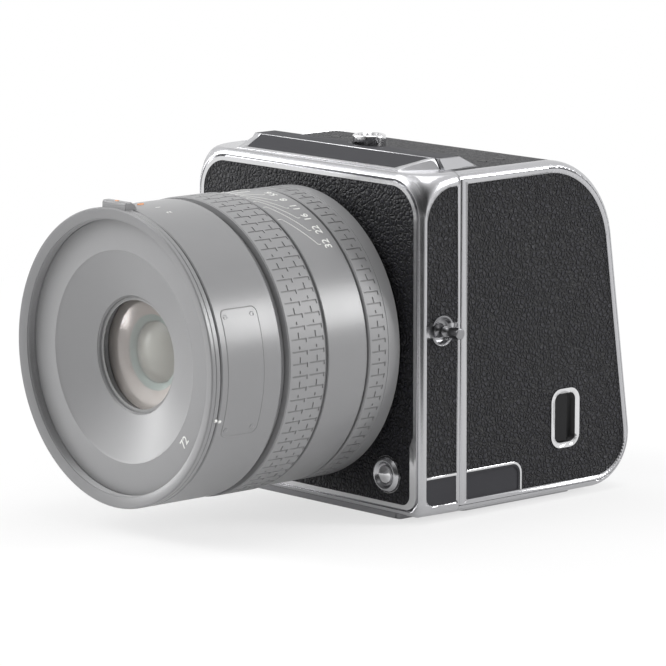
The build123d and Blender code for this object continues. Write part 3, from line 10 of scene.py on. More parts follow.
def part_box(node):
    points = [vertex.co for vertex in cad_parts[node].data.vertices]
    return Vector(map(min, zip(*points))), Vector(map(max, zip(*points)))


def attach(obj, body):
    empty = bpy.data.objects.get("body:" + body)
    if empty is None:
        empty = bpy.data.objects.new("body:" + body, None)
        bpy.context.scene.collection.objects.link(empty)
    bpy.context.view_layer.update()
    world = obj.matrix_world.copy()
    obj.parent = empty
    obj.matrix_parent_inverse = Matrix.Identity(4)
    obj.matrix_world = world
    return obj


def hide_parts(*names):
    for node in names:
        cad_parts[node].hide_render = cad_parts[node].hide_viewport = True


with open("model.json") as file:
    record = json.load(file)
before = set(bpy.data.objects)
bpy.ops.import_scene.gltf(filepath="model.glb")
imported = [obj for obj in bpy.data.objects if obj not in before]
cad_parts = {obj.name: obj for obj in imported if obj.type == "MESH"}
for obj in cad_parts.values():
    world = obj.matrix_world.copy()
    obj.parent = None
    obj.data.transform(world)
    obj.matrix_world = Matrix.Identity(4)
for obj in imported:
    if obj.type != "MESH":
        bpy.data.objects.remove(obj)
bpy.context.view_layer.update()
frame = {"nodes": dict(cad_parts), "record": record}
cad = frame["nodes"]
record = frame["record"]
body_of = {node: body for body, names in record["behaviour"]["bodies"].items() for node in names}
slot_of = {entry["node"]: entry["material_slot"] for entry in record["subparts"]}

MM = 0.001
WHOLE_TURN = 2 * pi
SAME_POINT = 0.000001    # points of a drawn outline that are closer than this are one
SAME_CORNER = 0.000002   # corners of a mesh that are closer than this are one

# The lens, in mm where no unit is given
AXIS_Z = 46.3 * MM       # height of the lens axis
BARREL = 38.9            # radius of the front barrel and the filter ring
SCALE = 38.8             # radius of the scale barrel and the control ring
GRIP = 39.2              # radius of the focus ring
BORE = 36.66             # bore of the rings
CHAMFER = 0.3            # edge taken off the rings
RING_STEPS = 192         # faces round a ring
GLASS_STEPS = 96         # faces round a glass element


# Materials

def fresh_material(name):
    """A material with its node tree and its Principled shader."""
    material = bpy.data.materials.new(name)
    material.use_nodes = True
    tree = material.node_tree
    return material, tree, tree.nodes["Principled BSDF"]


def feed(tree, socket, source):
    """Links another node's output to a socket, or gives the socket a value."""
    if isinstance(source, bpy.types.NodeSocket):
        tree.links.new(source, socket)
    else:
        socket.default_value = source


def add_node(tree, kind, inputs=None, **settings):
    """A node of a kind with its settings. Its inputs take values or other nodes' outputs."""
    node = tree.nodes.new(kind)
    for key, value in settings.items():
        setattr(node, key, value)
    for name, source in (inputs or {}).items():
        feed(tree, node.inputs[name], source)
    return node


def math_node(tree, operation, *sources):
    """The result of a Math node."""
    return add_node(tree, "ShaderNodeMath", dict(enumerate(sources)), operation=operation).outputs[0]


def map_range(tree, mask, low, high, start=0.0, end=1.0, **settings):
    """A mask that runs from low to high where the one it comes from runs from start to end."""
    node = add_node(tree, "ShaderNodeMapRange", {"Value": mask, "From Min": start, "From Max": end,
                                                 "To Min": low, "To Max": high}, **settings)
    return node.outputs["Result"]


def object_place(tree, scale=1.0):
    """Object coordinates, scaled."""
    coordinates = add_node(tree, "ShaderNodeTexCoord")
    mapping = add_node(tree, "ShaderNodeMapping", {"Vector": coordinates.outputs["Object"],
                                                   "Scale": (scale, scale, scale)})
    return mapping.outputs["Vector"]


def noise(tree, place, **values):
    """A noise read at a place."""
    return add_node(tree, "ShaderNodeTexNoise", {"Vector": place, **values})


def make_group(name, inputs, outputs):
    """An empty node group with named sockets."""
    group = bpy.data.node_groups.new(name, "ShaderNodeTree")
    for socket, kind, value in inputs:
        made = group.interface.new_socket(socket, in_out="INPUT", socket_type=kind)
        if value is not None:
            made.default_value = value
    for socket, kind in outputs:
        group.interface.new_socket(socket, in_out="OUTPUT", socket_type=kind)
    return group, group.nodes.new("NodeGroupInput"), group.nodes.new("NodeGroupOutput")


def build_grain():
    """Pebbled leather grain: cells with creases between them, bent by a slow noise, over soft wrinkles."""
    group, given, out = make_group("leather_grain", [("Vector", "NodeSocketVector", None),
                                                     ("Cells", "NodeSocketFloat", 1400.0)],
                                   [("Height", "NodeSocketFloat"), ("Crease", "NodeSocketFloat"),
                                    ("Patches", "NodeSocketFloat")])
    place = given.outputs["Vector"]
    bend = noise(group, place, Scale=420.0, Detail=3.0)
    reach = (0.0011, 0.0011, 0.0011)
    bent = add_node(group, "ShaderNodeVectorMath", {0: bend.outputs["Color"], 1: reach, 2: place},
                    operation="MULTIPLY_ADD")
    cells = add_node(group, "ShaderNodeTexVoronoi",
                     {"Vector": bent.outputs[0], "Scale": given.outputs["Cells"]},
                     feature="DISTANCE_TO_EDGE")
    crease = map_range(group, cells.outputs["Distance"], 0.0, 1.0, end=0.28,
                       interpolation_type="SMOOTHSTEP")
    wrinkles = noise(group, place, Scale=560.0, Detail=1.5, Distortion=0.6)
    swell = math_node(group, "MULTIPLY_ADD", wrinkles.outputs["Fac"], 1.2, crease)
    fine = noise(group, place, Scale=2600.0, Detail=2.0)
    patches = noise(group, place, Scale=60.0, Detail=2.0)
    feed(group, out.inputs["Height"], math_node(group, "MULTIPLY_ADD", fine.outputs["Fac"], 0.35, swell))
    feed(group, out.inputs["Crease"], crease)
    feed(group, out.inputs["Patches"], patches.outputs["Fac"])
    return group


def build_tone():
    """Slow and fine change of a colour's brightness over a surface."""
    group, given, out = make_group("surface_tone", [("Color", "NodeSocketColor", None),
                                                    ("Vector", "NodeSocketVector", None),
                                                    ("Scale", "NodeSocketFloat", 80.0),
                                                    ("Amount", "NodeSocketFloat", 0.06)],
                                   [("Color", "NodeSocketColor"), ("Mask", "NodeSocketFloat")])
    mask = noise(group, given.outputs["Vector"], Scale=given.outputs["Scale"], Detail=4.0).outputs["Fac"]
    centred = math_node(group, "SUBTRACT", mask, 0.5)
    factor = math_node(group, "MULTIPLY_ADD", centred, given.outputs["Amount"], 1.0)
    shade = add_node(group, "ShaderNodeVectorMath", {0: given.outputs["Color"], "Scale": factor},
                     operation="SCALE")
    feed(group, out.inputs["Color"], shade.outputs[0])
    feed(group, out.inputs["Mask"], mask)
    return group


GRAIN = build_grain()
TONE = build_tone()


def tone_colour(tree, shader, place, color, scale, amount):
    """Gives the shader a colour whose brightness changes, and returns the mask of that change."""
    tone = add_node(tree, "ShaderNodeGroup", node_tree=TONE)
    for name, source in (("Color", color), ("Vector", place), ("Scale", scale), ("Amount", amount)):
        feed(tree, tone.inputs[name], source)
    feed(tree, shader.inputs["Base Color"], tone.outputs["Color"])
    return tone.outputs["Mask"]


def roughness_range(tree, shader, mask, low, high):
    """Roughness that follows a mask between two values."""
    feed(tree, shader.inputs["Roughness"], map_range(tree, mask, low, high))


def bump(tree, shader, height, strength, distance):
    """A bump from a height onto the shader's normal."""
    node = add_node(tree, "ShaderNodeBump", {"Height": height, "Strength": strength, "Distance": distance})
    feed(tree, shader.inputs["Normal"], node.outputs["Normal"])


def leather_material():
    """Nearly black grained leather, with painted shade that darkens its creases."""
    material, tree, shader = fresh_material("grained_leather")
    place = object_place(tree)
    grain = add_node(tree, "ShaderNodeGroup", node_tree=GRAIN)
    feed(tree, grain.inputs["Vector"], place)
    feed(tree, grain.inputs["Cells"], 820.0)
    # painted shade: the creases take a darker colour than the cells
    ramp = add_node(tree, "ShaderNodeValToRGB", {"Fac": grain.outputs["Crease"]})
    ramp.color_ramp.elements[0].color = (0.004, 0.004, 0.005, 1)
    ramp.color_ramp.elements[1].color = (0.014, 0.014, 0.0195, 1)
    tone_colour(tree, shader, place, ramp.outputs["Color"], 90.0, 0.5)
    roughness_range(tree, shader, grain.outputs["Patches"], 0.42, 0.54)
    shader.inputs["Specular IOR Level"].default_value = 0.32
    bump(tree, shader, grain.outputs["Height"], 0.85, 0.55 * MM)
    return material


def metal_material(name, color, low, high, metallic=1.0, grit=0.0, specular=0.5):
    """Metal or lacquer with a slow change of tone, a roughness that varies, and fine grit."""
    material, tree, shader = fresh_material(name)
    shader.inputs["Metallic"].default_value = metallic
    shader.inputs["Specular IOR Level"].default_value = specular
    place = object_place(tree)
    mask = tone_colour(tree, shader, place, (*color, 1), 160.0, 0.05)
    roughness_range(tree, shader, mask, low, high)
    if grit:
        bump(tree, shader, noise(tree, place, Scale=5200.0).outputs["Fac"], grit, 0.03 * MM)
    return material


def lacquer(name, color, low, high, **more):
    """Paint, plastic, ink or dark glass: the same finish without a metal's reflection."""
    return metal_material(name, color, low, high, metallic=0.0, **more)


def coated_glass(name, tint, film):
    """Clear glass with a thin coating that tints what it reflects."""
    material, tree, shader = fresh_material(name)
    shader.inputs["Transmission Weight"].default_value = 1.0
    shader.inputs["IOR"].default_value = 1.5
    shader.inputs["Specular Tint"].default_value = film
    mask = tone_colour(tree, shader, object_place(tree), (*tint, 1), 30.0, 0.02)
    roughness_range(tree, shader, mask, 0.10, 0.14)
    return material


LEATHER = leather_material()
SATIN = metal_material("satin_chrome", (0.50, 0.50, 0.515), 0.2, 0.28, grit=0.03)
BRIGHT = metal_material("bright_chrome", (0.70, 0.70, 0.71), 0.09, 0.15)
SMOKED = metal_material("smoked_chrome", (0.27, 0.27, 0.28), 0.24, 0.34)
CATCH = lacquer("latch_lacquer", (0.012, 0.012, 0.013), 0.5, 0.6, specular=0.15)
STEEL = metal_material("turned_steel", (0.50, 0.50, 0.51), 0.2, 0.3)
DARK_PLATE = lacquer("dark_plate", (0.050, 0.050, 0.055), 0.5, 0.6, grit=0.1, specular=0.06)
BLACK_METAL = lacquer("black_anodised", (0.018, 0.018, 0.019), 0.36, 0.46, grit=0.08, specular=0.3)
BLACK_PLASTIC = lacquer("black_plastic", (0.012, 0.012, 0.012), 0.42, 0.52, grit=0.15)
LENS_GREY = lacquer("lens_lacquer", (0.235, 0.235, 0.24), 0.26, 0.34, grit=0.04)
LENS_RING = lacquer("grip_ring_lacquer", (0.26, 0.26, 0.265), 0.4, 0.5, grit=0.08)
# The darker grey of the grip's cuts is painted shade in those shallow cuts; it also colours the dark seam
# round the barrel plate
LENS_SLOT_SHADE_AND_SEAM = lacquer("grip_slot_shade_and_seam", (0.20, 0.20, 0.203), 0.5, 0.6)
LENS_GROOVE = lacquer("groove_shade", (0.23, 0.23, 0.233), 0.45, 0.55)
FACE_GREY = lacquer("bezel_lacquer", (0.285, 0.285, 0.29), 0.34, 0.42, grit=0.04)
CELL_GREY = lacquer("cell_wall", (0.30, 0.30, 0.30), 0.45, 0.55)
INK = lacquer("pale_ink", (0.80, 0.80, 0.78), 0.5, 0.6)
ORANGE = lacquer("orange_paint", (0.75, 0.33, 0.15), 0.4, 0.5)
SCREEN = lacquer("screen_glass", (0.006, 0.006, 0.007), 0.04, 0.08)
SENSOR = metal_material("sensor_glass", (0.05, 0.09, 0.10), 0.05, 0.1, metallic=0.6)
GLASS = coated_glass("front_coated_glass", (0.97, 0.97, 0.96), (1.0, 0.86, 0.84, 1.0))
# The glass inside the lens is opaque lacquer whose colours are painted reflection, the tints seen in coated
# glass
INNER_GLASS = lacquer("inner_glass_painted_reflection", (0.26, 0.325, 0.31), 0.3, 0.4)
CORE_GLASS = lacquer("core_glass_painted_reflection", (0.34, 0.345, 0.32), 0.2, 0.26)
DEEP_GLASS = lacquer("deep_glass_painted_reflection", (0.45, 0.41, 0.39), 0.36, 0.44)


# Modelling

def deselect():
    """Leaves edit mode, with nothing selected."""
    if bpy.context.object and bpy.context.object.mode != "OBJECT":
        bpy.ops.object.mode_set(mode="OBJECT")
    bpy.ops.object.select_all(action="DESELECT")


def select_only(piece):
    """Leaves only this piece selected, and active."""
    deselect()
    piece.select_set(True)
    bpy.context.view_layer.objects.active = piece


def apply_place():
    """Puts the place, turn and size of the selected piece into its mesh."""
    bpy.ops.object.transform_apply(location=True, rotation=True, scale=True)


def apply_modifier(piece, kind, **settings):
    """Gives the active piece a modifier with its settings, and applies it."""
    bpy.ops.object.modifier_add(type=kind)
    modifier = piece.modifiers[-1]
    for key, value in settings.items():
        setattr(modifier, key, value)
    bpy.ops.object.modifier_apply(modifier=modifier.name)


def bevel_edges(piece, width, segments, angle):
    """Rounds the edges of a piece that are sharper than an angle."""
    select_only(piece)
    apply_modifier(piece, "BEVEL", width=width, segments=segments, limit_method="ANGLE",
                   angle_limit=radians(angle))


def smooth(piece, angle=32.0, weighted=True):
    """Smooth shading with sharp edges, and flat faces kept flat beside their roundings."""
    select_only(piece)
    bpy.ops.object.shade_smooth_by_angle(angle=radians(angle))
    if weighted:
        apply_modifier(piece, "WEIGHTED_NORMAL", keep_sharp=True, weight=100)


def dress(piece, name, body, slot, *materials):
    """Names a finished piece, gives it its materials and makes it ride on a body."""
    piece.name = name
    piece.data.name = name
    piece.data.materials.clear()
    for material in materials:
        piece.data.materials.append(material)
    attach(piece, body)


def from_cad(node, material):
    """A merged, smoothly shaded copy of a CAD node that stands for it."""
    piece = bpy.data.objects.new(node + "_finish", cad[node].data.copy())
    bpy.context.collection.objects.link(piece)
    select_only(piece)
    bpy.ops.object.mode_set(mode="EDIT")
    bpy.ops.mesh.select_all(action="SELECT")
    bpy.ops.mesh.remove_doubles(threshold=SAME_CORNER)
    bpy.ops.object.mode_set(mode="OBJECT")
    smooth(piece)
    dress(piece, node + "_finish", body_of[node], slot_of[node], material)
    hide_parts(node)
    return piece


def on_ring(y, radius, angle):
    """Point at a place along the lens, a radius and an angle from +X towards +Z, all in mm and degrees."""
    turn = radians(angle)
    return Vector((radius * MM * cos(turn), y * MM, AXIS_Z + radius * MM * sin(turn)))


def drawn_line(points):
    """A bare line through points, drawn by extruding one vertex. Stays in edit mode, all selected."""
    deselect()
    bpy.context.tool_settings.mesh_select_mode = (True, False, False)
    bpy.ops.mesh.primitive_plane_add(size=0.002, location=points[0])
    bpy.ops.object.mode_set(mode="EDIT")
    bpy.ops.mesh.select_all(action="SELECT")
    bpy.ops.mesh.merge(type="CENTER")
    for start, end in zip(points, points[1:]):
        bpy.ops.mesh.extrude_region_move(TRANSFORM_OT_translate={"value": Vector(end) - Vector(start)})
    bpy.ops.mesh.select_all(action="SELECT")
    return bpy.context.object


def drawn_outline(points):
    """A closed line through points. Stays in edit mode, all selected."""
    piece = drawn_line(points + [points[0]])
    bpy.ops.mesh.remove_doubles(threshold=SAME_POINT)
    bpy.ops.mesh.select_all(action="SELECT")
    return piece


def close_mesh():
    """Merges the corners that meet, points the faces outwards and puts the piece's place into its mesh."""
    bpy.ops.mesh.select_all(action="SELECT")
    bpy.ops.mesh.remove_doubles(threshold=SAME_CORNER)
    bpy.ops.mesh.normals_make_consistent(inside=False)
    bpy.ops.object.mode_set(mode="OBJECT")
    apply_place()


def spin(steps, angle):
    """Spins what is selected round the lens axis."""
    bpy.ops.mesh.spin(steps=steps, angle=angle, center=(0, 0, AXIS_Z), axis=(0, 1, 0))
    close_mesh()


def extruded(outline, shift):
    """A solid drawn as an outline, filled and extruded by a shift."""
    piece = drawn_outline(outline)
    bpy.ops.mesh.edge_face_add()
    bpy.ops.mesh.extrude_region_move(TRANSFORM_OT_translate={"value": shift})
    close_mesh()
    return piece


def turned(profile, steps):
    """A ring spun round the lens axis from a closed profile of (place along the lens, radius) in mm."""
    piece = drawn_outline([on_ring(y, radius, 90) for y, radius in profile])
    spin(steps, WHOLE_TURN)
    return piece


def turned_piece(name, profile, material, node, body=None, slot="lens_metal", steps=RING_STEPS, angle=32.0):
    """A turned, smooth and dressed ring, which stands for a CAD node where it has one."""
    piece = turned(profile, steps)
    smooth(piece, angle, weighted=False)
    dress(piece, name, body or body_of[node], slot, material)
    if node:
        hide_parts(node)
    return piece


# CAD nodes whose shape is right, merged and smoothed
finishes = {
    "body_frame": SATIN, "front_leather": LEATHER, "front_bead": BRIGHT, "body_leather_right": LEATHER,
    "body_leather_left": LEATHER, "body_side_plate": DARK_PLATE, "strap_cups": SMOKED,
    "strap_studs": SMOKED, "body_mount_ring": STEEL, "light_throat": BLACK_PLASTIC,
    "body_rear_plate": BLACK_METAL, "dial_seat": BRIGHT, "control_dial": SATIN, "shutter_button": BRIGHT,
    "lens_release": BRIGHT, "foot_plate": SMOKED, "tripod_socket": STEEL, "bridge_front": SATIN,
    "shield_plate": DARK_PLATE, "bridge_rear": SATIN, "knob_plate": BLACK_METAL, "release_knob": BRIGHT,
    "back_housing": SATIN, "top_leather": LEATHER, "back_leather_left": LEATHER,
    "port_cover": BLACK_PLASTIC, "side_door": SATIN, "door_hinge_pin": STEEL, "door_leather": LEATHER,
    "door_plate": DARK_PLATE, "battery": BLACK_PLASTIC, "card_reader": BLACK_PLASTIC,
    "screen_frame": BLACK_METAL, "screen_glass": SCREEN, "screen_hinge_pins": STEEL,
    "back_front_plate": BLACK_METAL, "image_sensor": SENSOR, "base_rib": SATIN,
    "lens_mount_plate": STEEL, "lens_core": LENS_GROOVE, "plate_rivets": LENS_GREY, "rear_glass": GLASS,
}
for number in range(1, 6):
    finishes["rear_button_" + str(number)] = BLACK_METAL
for node, material in finishes.items():
    from_cad(node, material)


def build_latch():
    """The bright frame let into the door, its inside faces black as painted shade in the pocket, and the
    thumb catch in it.
    """
    rim = 0.9 * MM           # width of the frame seen from the side
    lip = 0.2 * MM           # depth at which the painted shade of its inside starts
    frame_piece = from_cad("latch_bezel", BRIGHT)
    frame_piece.data.materials.append(BLACK_METAL)
    low, high = [Vector(corner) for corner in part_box("latch_bezel")]
    middle = (low + high) / 2
    reach = (high - low) / 2
    for face in frame_piece.data.polygons:
        offset = face.center - middle
        inside = abs(offset.y) < reach.y - rim and abs(offset.z) < reach.z - rim
        # painted shade: the faces inside the frame, below its lip, take black
        if inside and offset.x < reach.x - lip:
            face.material_index = 1
    low, high = [Vector(corner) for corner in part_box("door_latch")]
    deselect()
    bpy.ops.mesh.primitive_cube_add(size=1.0, location=(low + high) / 2)
    catch = bpy.context.object
    catch.scale = high - low
    apply_place()
    bpy.ops.object.mode_set(mode="EDIT")
    bpy.ops.mesh.select_all(action="SELECT")
    bpy.ops.mesh.bevel(offset=0.35 * MM, segments=3, affect="EDGES")
    bpy.ops.object.mode_set(mode="OBJECT")
    smooth(catch, 40.0)
    dress(catch, "door_latch_finish", body_of["door_latch"], "black_metal", CATCH)
    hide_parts("door_latch")


build_latch()

# Dark top of the raised bridge
BRIDGE_TOP = 93.0 * MM   # the faces that look up above this height are its top
bridge_top = bpy.data.objects["bridge_rear_finish"]
bridge_top.data.materials.append(DARK_PLATE)
for face in bridge_top.data.polygons:
    if face.normal.z > 0.98 and face.center.z > BRIDGE_TOP:
        face.material_index = 1


# Lens rings and their cut grips
PITCH = 8                # columns of faces for one line of the grip
LINES = 78               # lines of the grip round a ring
CUT_DEPTH = 0.18         # depth of a cut


def cut_grip(piece, radius, rows):
    """Cuts the grip into a ring: lines along the lens, each with a bent end, and short cross cuts that
    join every other line and stand free between the rest. A row is its five places along the lens."""
    column = WHOLE_TURN / (PITCH * LINES)

    def is_cut(centre):
        """Whether the face with this centre belongs to the cut grip."""
        if Vector((centre.x, 0, centre.z - AXIS_Z)).length < (radius - 0.05) * MM:
            return False
        turn = atan2(centre.z - AXIS_Z, centre.x) % WHOLE_TURN
        line, part = divmod(int(turn / column), PITCH)
        for low, cross_low, cross_high, bend, high in rows:
            y = centre.y / MM
            if not low < y < high:
                continue
            if part == 0:
                return True
            if y > bend:
                return part in (PITCH - 1, PITCH - 2)
            if cross_low < y < cross_high:
                return part in (1, 2, 3, 4) if line % 2 == 0 else part in (2, 3)
        return False

    select_only(piece)
    bpy.ops.object.mode_set(mode="EDIT")
    bpy.context.tool_settings.mesh_select_mode = (False, False, True)
    bpy.ops.mesh.select_all(action="DESELECT")
    bpy.ops.object.mode_set(mode="OBJECT")
    for face in piece.data.polygons:
        face.select = is_cut(face.center)
    bpy.ops.object.mode_set(mode="EDIT")
    bpy.ops.mesh.extrude_region_shrink_fatten(TRANSFORM_OT_shrink_fatten={"value": -CUT_DEPTH * MM})
    bpy.ops.object.mode_set(mode="OBJECT")
    return [int(face.select) for face in piece.data.polygons]


def row_stations(front, length):
    """Places along the lens of one row of the grip, from its front end."""
    return (front, front + 2.25, front + 2.7, front + length - 0.4, front + length)


def grip_ring(node, rear, front, radius, rows, rear_points):
    """A ring with its grip, whose cut faces take the darker slot grey, painted shade in the cuts."""
    profile = [(rear, BORE)] + rear_points
    for row in rows:
        profile += [(place, radius) for place in reversed(row)]
    profile += [(front + CHAMFER, radius), (front, radius - CHAMFER), (front, BORE)]
    piece = turned(profile, PITCH * LINES)
    cut = cut_grip(piece, radius, rows)
    smooth(piece, weighted=False)
    dress(piece, node + "_finish", body_of[node], "lens_metal", LENS_RING, LENS_SLOT_SHADE_AND_SEAM)
    for face, index in zip(piece.data.polygons, cut):
        face.material_index = index
    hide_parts(node)


grip_ring("focus_ring", -39.5, -51.9, GRIP, [row_stations(-45.15, 5.1), row_stations(-50.9, 5.1)],
          [(-39.5, GRIP - CHAMFER), (-39.8, GRIP)])
grip_ring("control_ring", -13.2, -24.0, SCALE, [row_stations(-23.2, 4.8)],
          [(-13.2, SCALE - CHAMFER), (-13.5, SCALE), (-17.3, SCALE), (-17.4, 38.66), (-17.5, SCALE)])

barrel_edge = BARREL - CHAMFER
turned_piece("front_barrel_finish", [(-52.2, BORE), (-52.2, 37.3), (-54.3, 37.3), (-54.3, barrel_edge),
                                     (-54.6, BARREL), (-74.1, BARREL), (-74.4, barrel_edge), (-74.4, BORE)],
             LENS_GREY, "front_barrel")
turned_piece("filter_ring_finish", [(-74.7, BORE), (-74.7, barrel_edge), (-75.0, BARREL), (-76.1, BARREL),
                                    (-76.25, 38.72), (-76.4, BARREL), (-77.35, BARREL), (-77.65, barrel_edge),
                                    (-77.65, 38.15), (-77.0, 36.0), (-74.75, 36.0), (-74.4, 35.9),
                                    (-73.45, 35.9), (-73.45, BORE)], LENS_GREY, "filter_ring")
turned_piece("scale_barrel_finish", [(-24.3, BORE), (-24.3, 38.1), (-25.1, 38.1), (-25.1, 38.6),
                                     (-25.3, SCALE), (-38.1, SCALE), (-38.3, 38.6), (-38.3, 38.1),
                                     (-39.2, 38.1), (-39.2, BORE)], LENS_GREY, "scale_barrel")
turned_piece("cone_bezel_finish", [(-73.5, 35.85), (-74.2, 35.85), (-74.3, 35.75), (-74.3, 27.6),
                                   (-73.85, 27.0), (-70.3, 15.75), (-70.15, 15.45), (-69.4, 15.45),
                                   (-69.4, 16.6), (-72.8, 27.6), (-73.5, 29.6)],
             FACE_GREY, "cone_bezel", angle=20.0)
from_cad("front_cell", CELL_GREY)


def build_barrel_plate():
    """The plate let into the side of the barrel: a flat bar turned part of the way, with round corners."""
    half = 24.3              # half of its turn, in degrees
    foot, top = 38.4, BARREL + 0.07
    ends = [(-72.22, foot), (-72.22, top), (-60.38, top), (-60.38, foot)]
    plate = drawn_outline([on_ring(y, radius, -half) for y, radius in ends])
    bpy.ops.mesh.edge_face_add()
    spin(14, radians(2 * half))
    bpy.ops.object.mode_set(mode="EDIT")
    bpy.ops.mesh.select_all(action="DESELECT")
    bpy.ops.object.mode_set(mode="OBJECT")
    bpy.context.tool_settings.mesh_select_mode = (False, True, False)
    points = plate.data.vertices
    for edge in plate.data.edges:
        start, end = (points[number].co for number in edge.vertices)
        turns = [abs(degrees(atan2(point.z - AXIS_Z, point.x))) for point in (start, end)]
        edge.select = min(turns) > half - 0.1 and abs(start.y - end.y) < 0.1 * MM
    bpy.ops.object.mode_set(mode="EDIT")
    bpy.ops.mesh.bevel(offset=1.5 * MM, segments=6, affect="EDGES")
    bevel_edges(plate, 0.12 * MM, 2, 50.0)
    smooth(plate)
    dress(plate, "barrel_plate_finish", body_of["barrel_plate"], "dark_plate", LENS_GREY)
    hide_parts("barrel_plate")


def build_index_tab():
    """The tab on top of the front ring, with a lower step behind it."""
    half = 4.7               # half of its width
    sides = [(-77.05, 37.8), (-77.05, 39.9), (-76.75, 40.6), (-74.9, 40.6), (-74.4, 40.2), (-73.9, 40.1),
             (-73.1, 38.7), (-73.1, 37.8)]
    tab = extruded([Vector((-half * MM, y * MM, AXIS_Z + height * MM)) for y, height in sides],
                   (2 * half * MM, 0, 0))
    bevel_edges(tab, 0.3 * MM, 3, 50.0)
    smooth(tab, 40.0)
    dress(tab, "index_tab_finish", body_of["filter_ring"], "lens_metal", LENS_GREY)


build_barrel_plate()
build_index_tab()

# Fine thread inside the filter ring
THREAD_PITCH = 0.5
thread = [(-76.9, 36.1)]
for turn in range(4):
    place = -76.75 + THREAD_PITCH * turn
    thread += [(place, 36.0), (place + THREAD_PITCH / 2, 35.72)]
thread += [(-74.8, 36.0), (-74.8, 36.1)]
turned_piece("filter_thread_finish", thread, LENS_GREY, None, body_of["filter_ring"], angle=20.0)


# Glass elements
def dome(front, depth, radius, steps):
    """Profile of a dome from its centre to its rim."""
    return [(front + depth * (step / steps) ** 2, radius * step / steps) for step in range(steps + 1)]


glass_body = body_of["front_glass"]
shell = dome(-68.9, 2.0, 15.0, 16)
shell += [(y + 0.45, radius) for y, radius in reversed(shell)]
front_glass = turned_piece("front_glass_finish", shell, GLASS, "front_glass", slot="glass", steps=GLASS_STEPS)
front_glass.visible_shadow = False
turned_piece("glass_retainer_finish", [(-70.1, 15.4), (-69.8, 15.1), (-68.9, 15.0), (-67.0, 15.0),
                                       (-67.0, 15.4)],
             LENS_GREY, None, glass_body, slot="black_metal", steps=GLASS_STEPS)
# opaque elements whose colours are painted reflection
inner_elements = {
    "second_glass_finish": (DEEP_GLASS, [(-64.2, 14.9), (-66.35, 14.9), (-66.3, 14.0), (-65.9, 13.0),
                                         (-64.9, 11.2), (-63.7, 9.9), (-63.0, 9.9)]),
    "third_glass_finish": (INNER_GLASS, [(-61.5, 0.0), (-61.5, 9.9), (-63.7, 9.9), (-63.5, 9.3), (-62.9, 8.2),
                                         (-62.2, 8.0), (-62.2, 0.0)]),
    "inner_dome_finish": (CORE_GLASS, [(-62.0, 0.0), (-62.0, 8.0)] + dome(-64.9, 2.2, 8.0, 12)[::-1]),
}
for name, (material, profile) in inner_elements.items():
    turned_piece(name, profile, material, None, glass_body, slot="glass", steps=GLASS_STEPS)


# Printed scale and marks
SIZE_FOR_HEIGHT = 1.4    # text size that gives figures of height 1
INK_LINE = 0.12 * MM     # radius of a printed line


def printed(name, words, height, centre, outward, upward, body):
    """Plain figures printed on a surface, as thin raised ink."""
    deselect()
    bpy.ops.object.text_add(location=(0, 0, 0))
    text = bpy.context.object
    text.data.body = words
    text.data.align_x = "CENTER"
    text.data.align_y = "CENTER"
    text.data.size = height * SIZE_FOR_HEIGHT * MM
    text.data.extrude = 0.03 * MM
    text.data.offset = 0.035 * MM
    text.data.resolution_u = 3
    bpy.ops.object.convert(target="MESH")
    text = bpy.context.object
    turn = Matrix((upward.cross(outward), upward, outward)).transposed().to_4x4()
    text.matrix_world = Matrix.Translation(centre) @ turn
    apply_place()
    dress(text, name, body, "lens_metal", INK)


def printed_on_ring(name, words, height, y, radius, angle, body):
    """Figures on a ring, read from the front of the lens."""
    turn = radians(angle)
    printed(name, words, height, on_ring(y, radius, angle), Vector((cos(turn), 0, sin(turn))),
            Vector((0, -1, 0)), body)


def stroke(name, points, radius, material, body, slot="lens_metal"):
    """A thin printed or cut line through points."""
    line = drawn_line(points)
    bpy.ops.object.mode_set(mode="OBJECT")
    apply_place()
    bpy.ops.object.convert(target="CURVE")
    line = bpy.context.object
    line.data.bevel_depth = radius
    line.data.bevel_resolution = 1
    line.data.use_fill_caps = True
    bpy.ops.object.convert(target="MESH")
    line = bpy.context.object
    apply_place()
    dress(line, name, body, slot, material)


def ring_path(corners, radius):
    """Points on a ring along straight runs between corners of (place along the lens, angle)."""
    points = []
    for (y1, a1), (y2, a2) in zip(corners, corners[1:]):
        steps = max(1, int(abs(a2 - a1) / 2))
        for step in range(steps):
            share = step / steps
            points.append(on_ring(y1 + (y2 - y1) * share, radius, a1 + (a2 - a1) * share))
    points.append(on_ring(corners[-1][0], radius, corners[-1][1]))
    return points


# Figure, its angle on the ring, and the angle at which its line ends
scale_figures = [("32", 45.8, 61.2), ("22", 53.1, 70.6), ("16", 60.6, 76.4), ("11", 67.7, 80.6),
                 ("8", 74.7, 84.2), ("5.6", 82.1, 87.2)]
scale_body = body_of["scale_barrel"]
barrel_body = body_of["front_barrel"]
filter_body = body_of["filter_ring"]
for words, angle, end in scale_figures:
    for side in (1, -1):
        name = "scale_" + words.replace(".", "_") + ("_right" if side > 0 else "_left")
        turn = 90 + side * (angle - 90)
        reach = 90 + side * (end - 90)
        printed_on_ring(name, words, 2.25, -28.2, SCALE + 0.01, turn, scale_body)
        corners = [(-30.4, turn), (-31.2, turn), (-36.6, reach), (-37.7, reach)]
        stroke(name + "_line", ring_path(corners, SCALE), INK_LINE, INK, scale_body)
stroke("scale_centre_line", ring_path([(-31.0, 90), (-37.7, 90)], SCALE), INK_LINE, INK, scale_body)
stroke("barrel_index", ring_path([(-67.2, 90), (-69.0, 90)], BARREL), 0.35 * MM, ORANGE, barrel_body)
for angle, words in ((82.5, "1"), (76.0, "2"), (97.5, "5")):
    printed_on_ring("barrel_figure_" + words, words, 1.5, -66.5, BARREL + 0.01, angle, barrel_body)
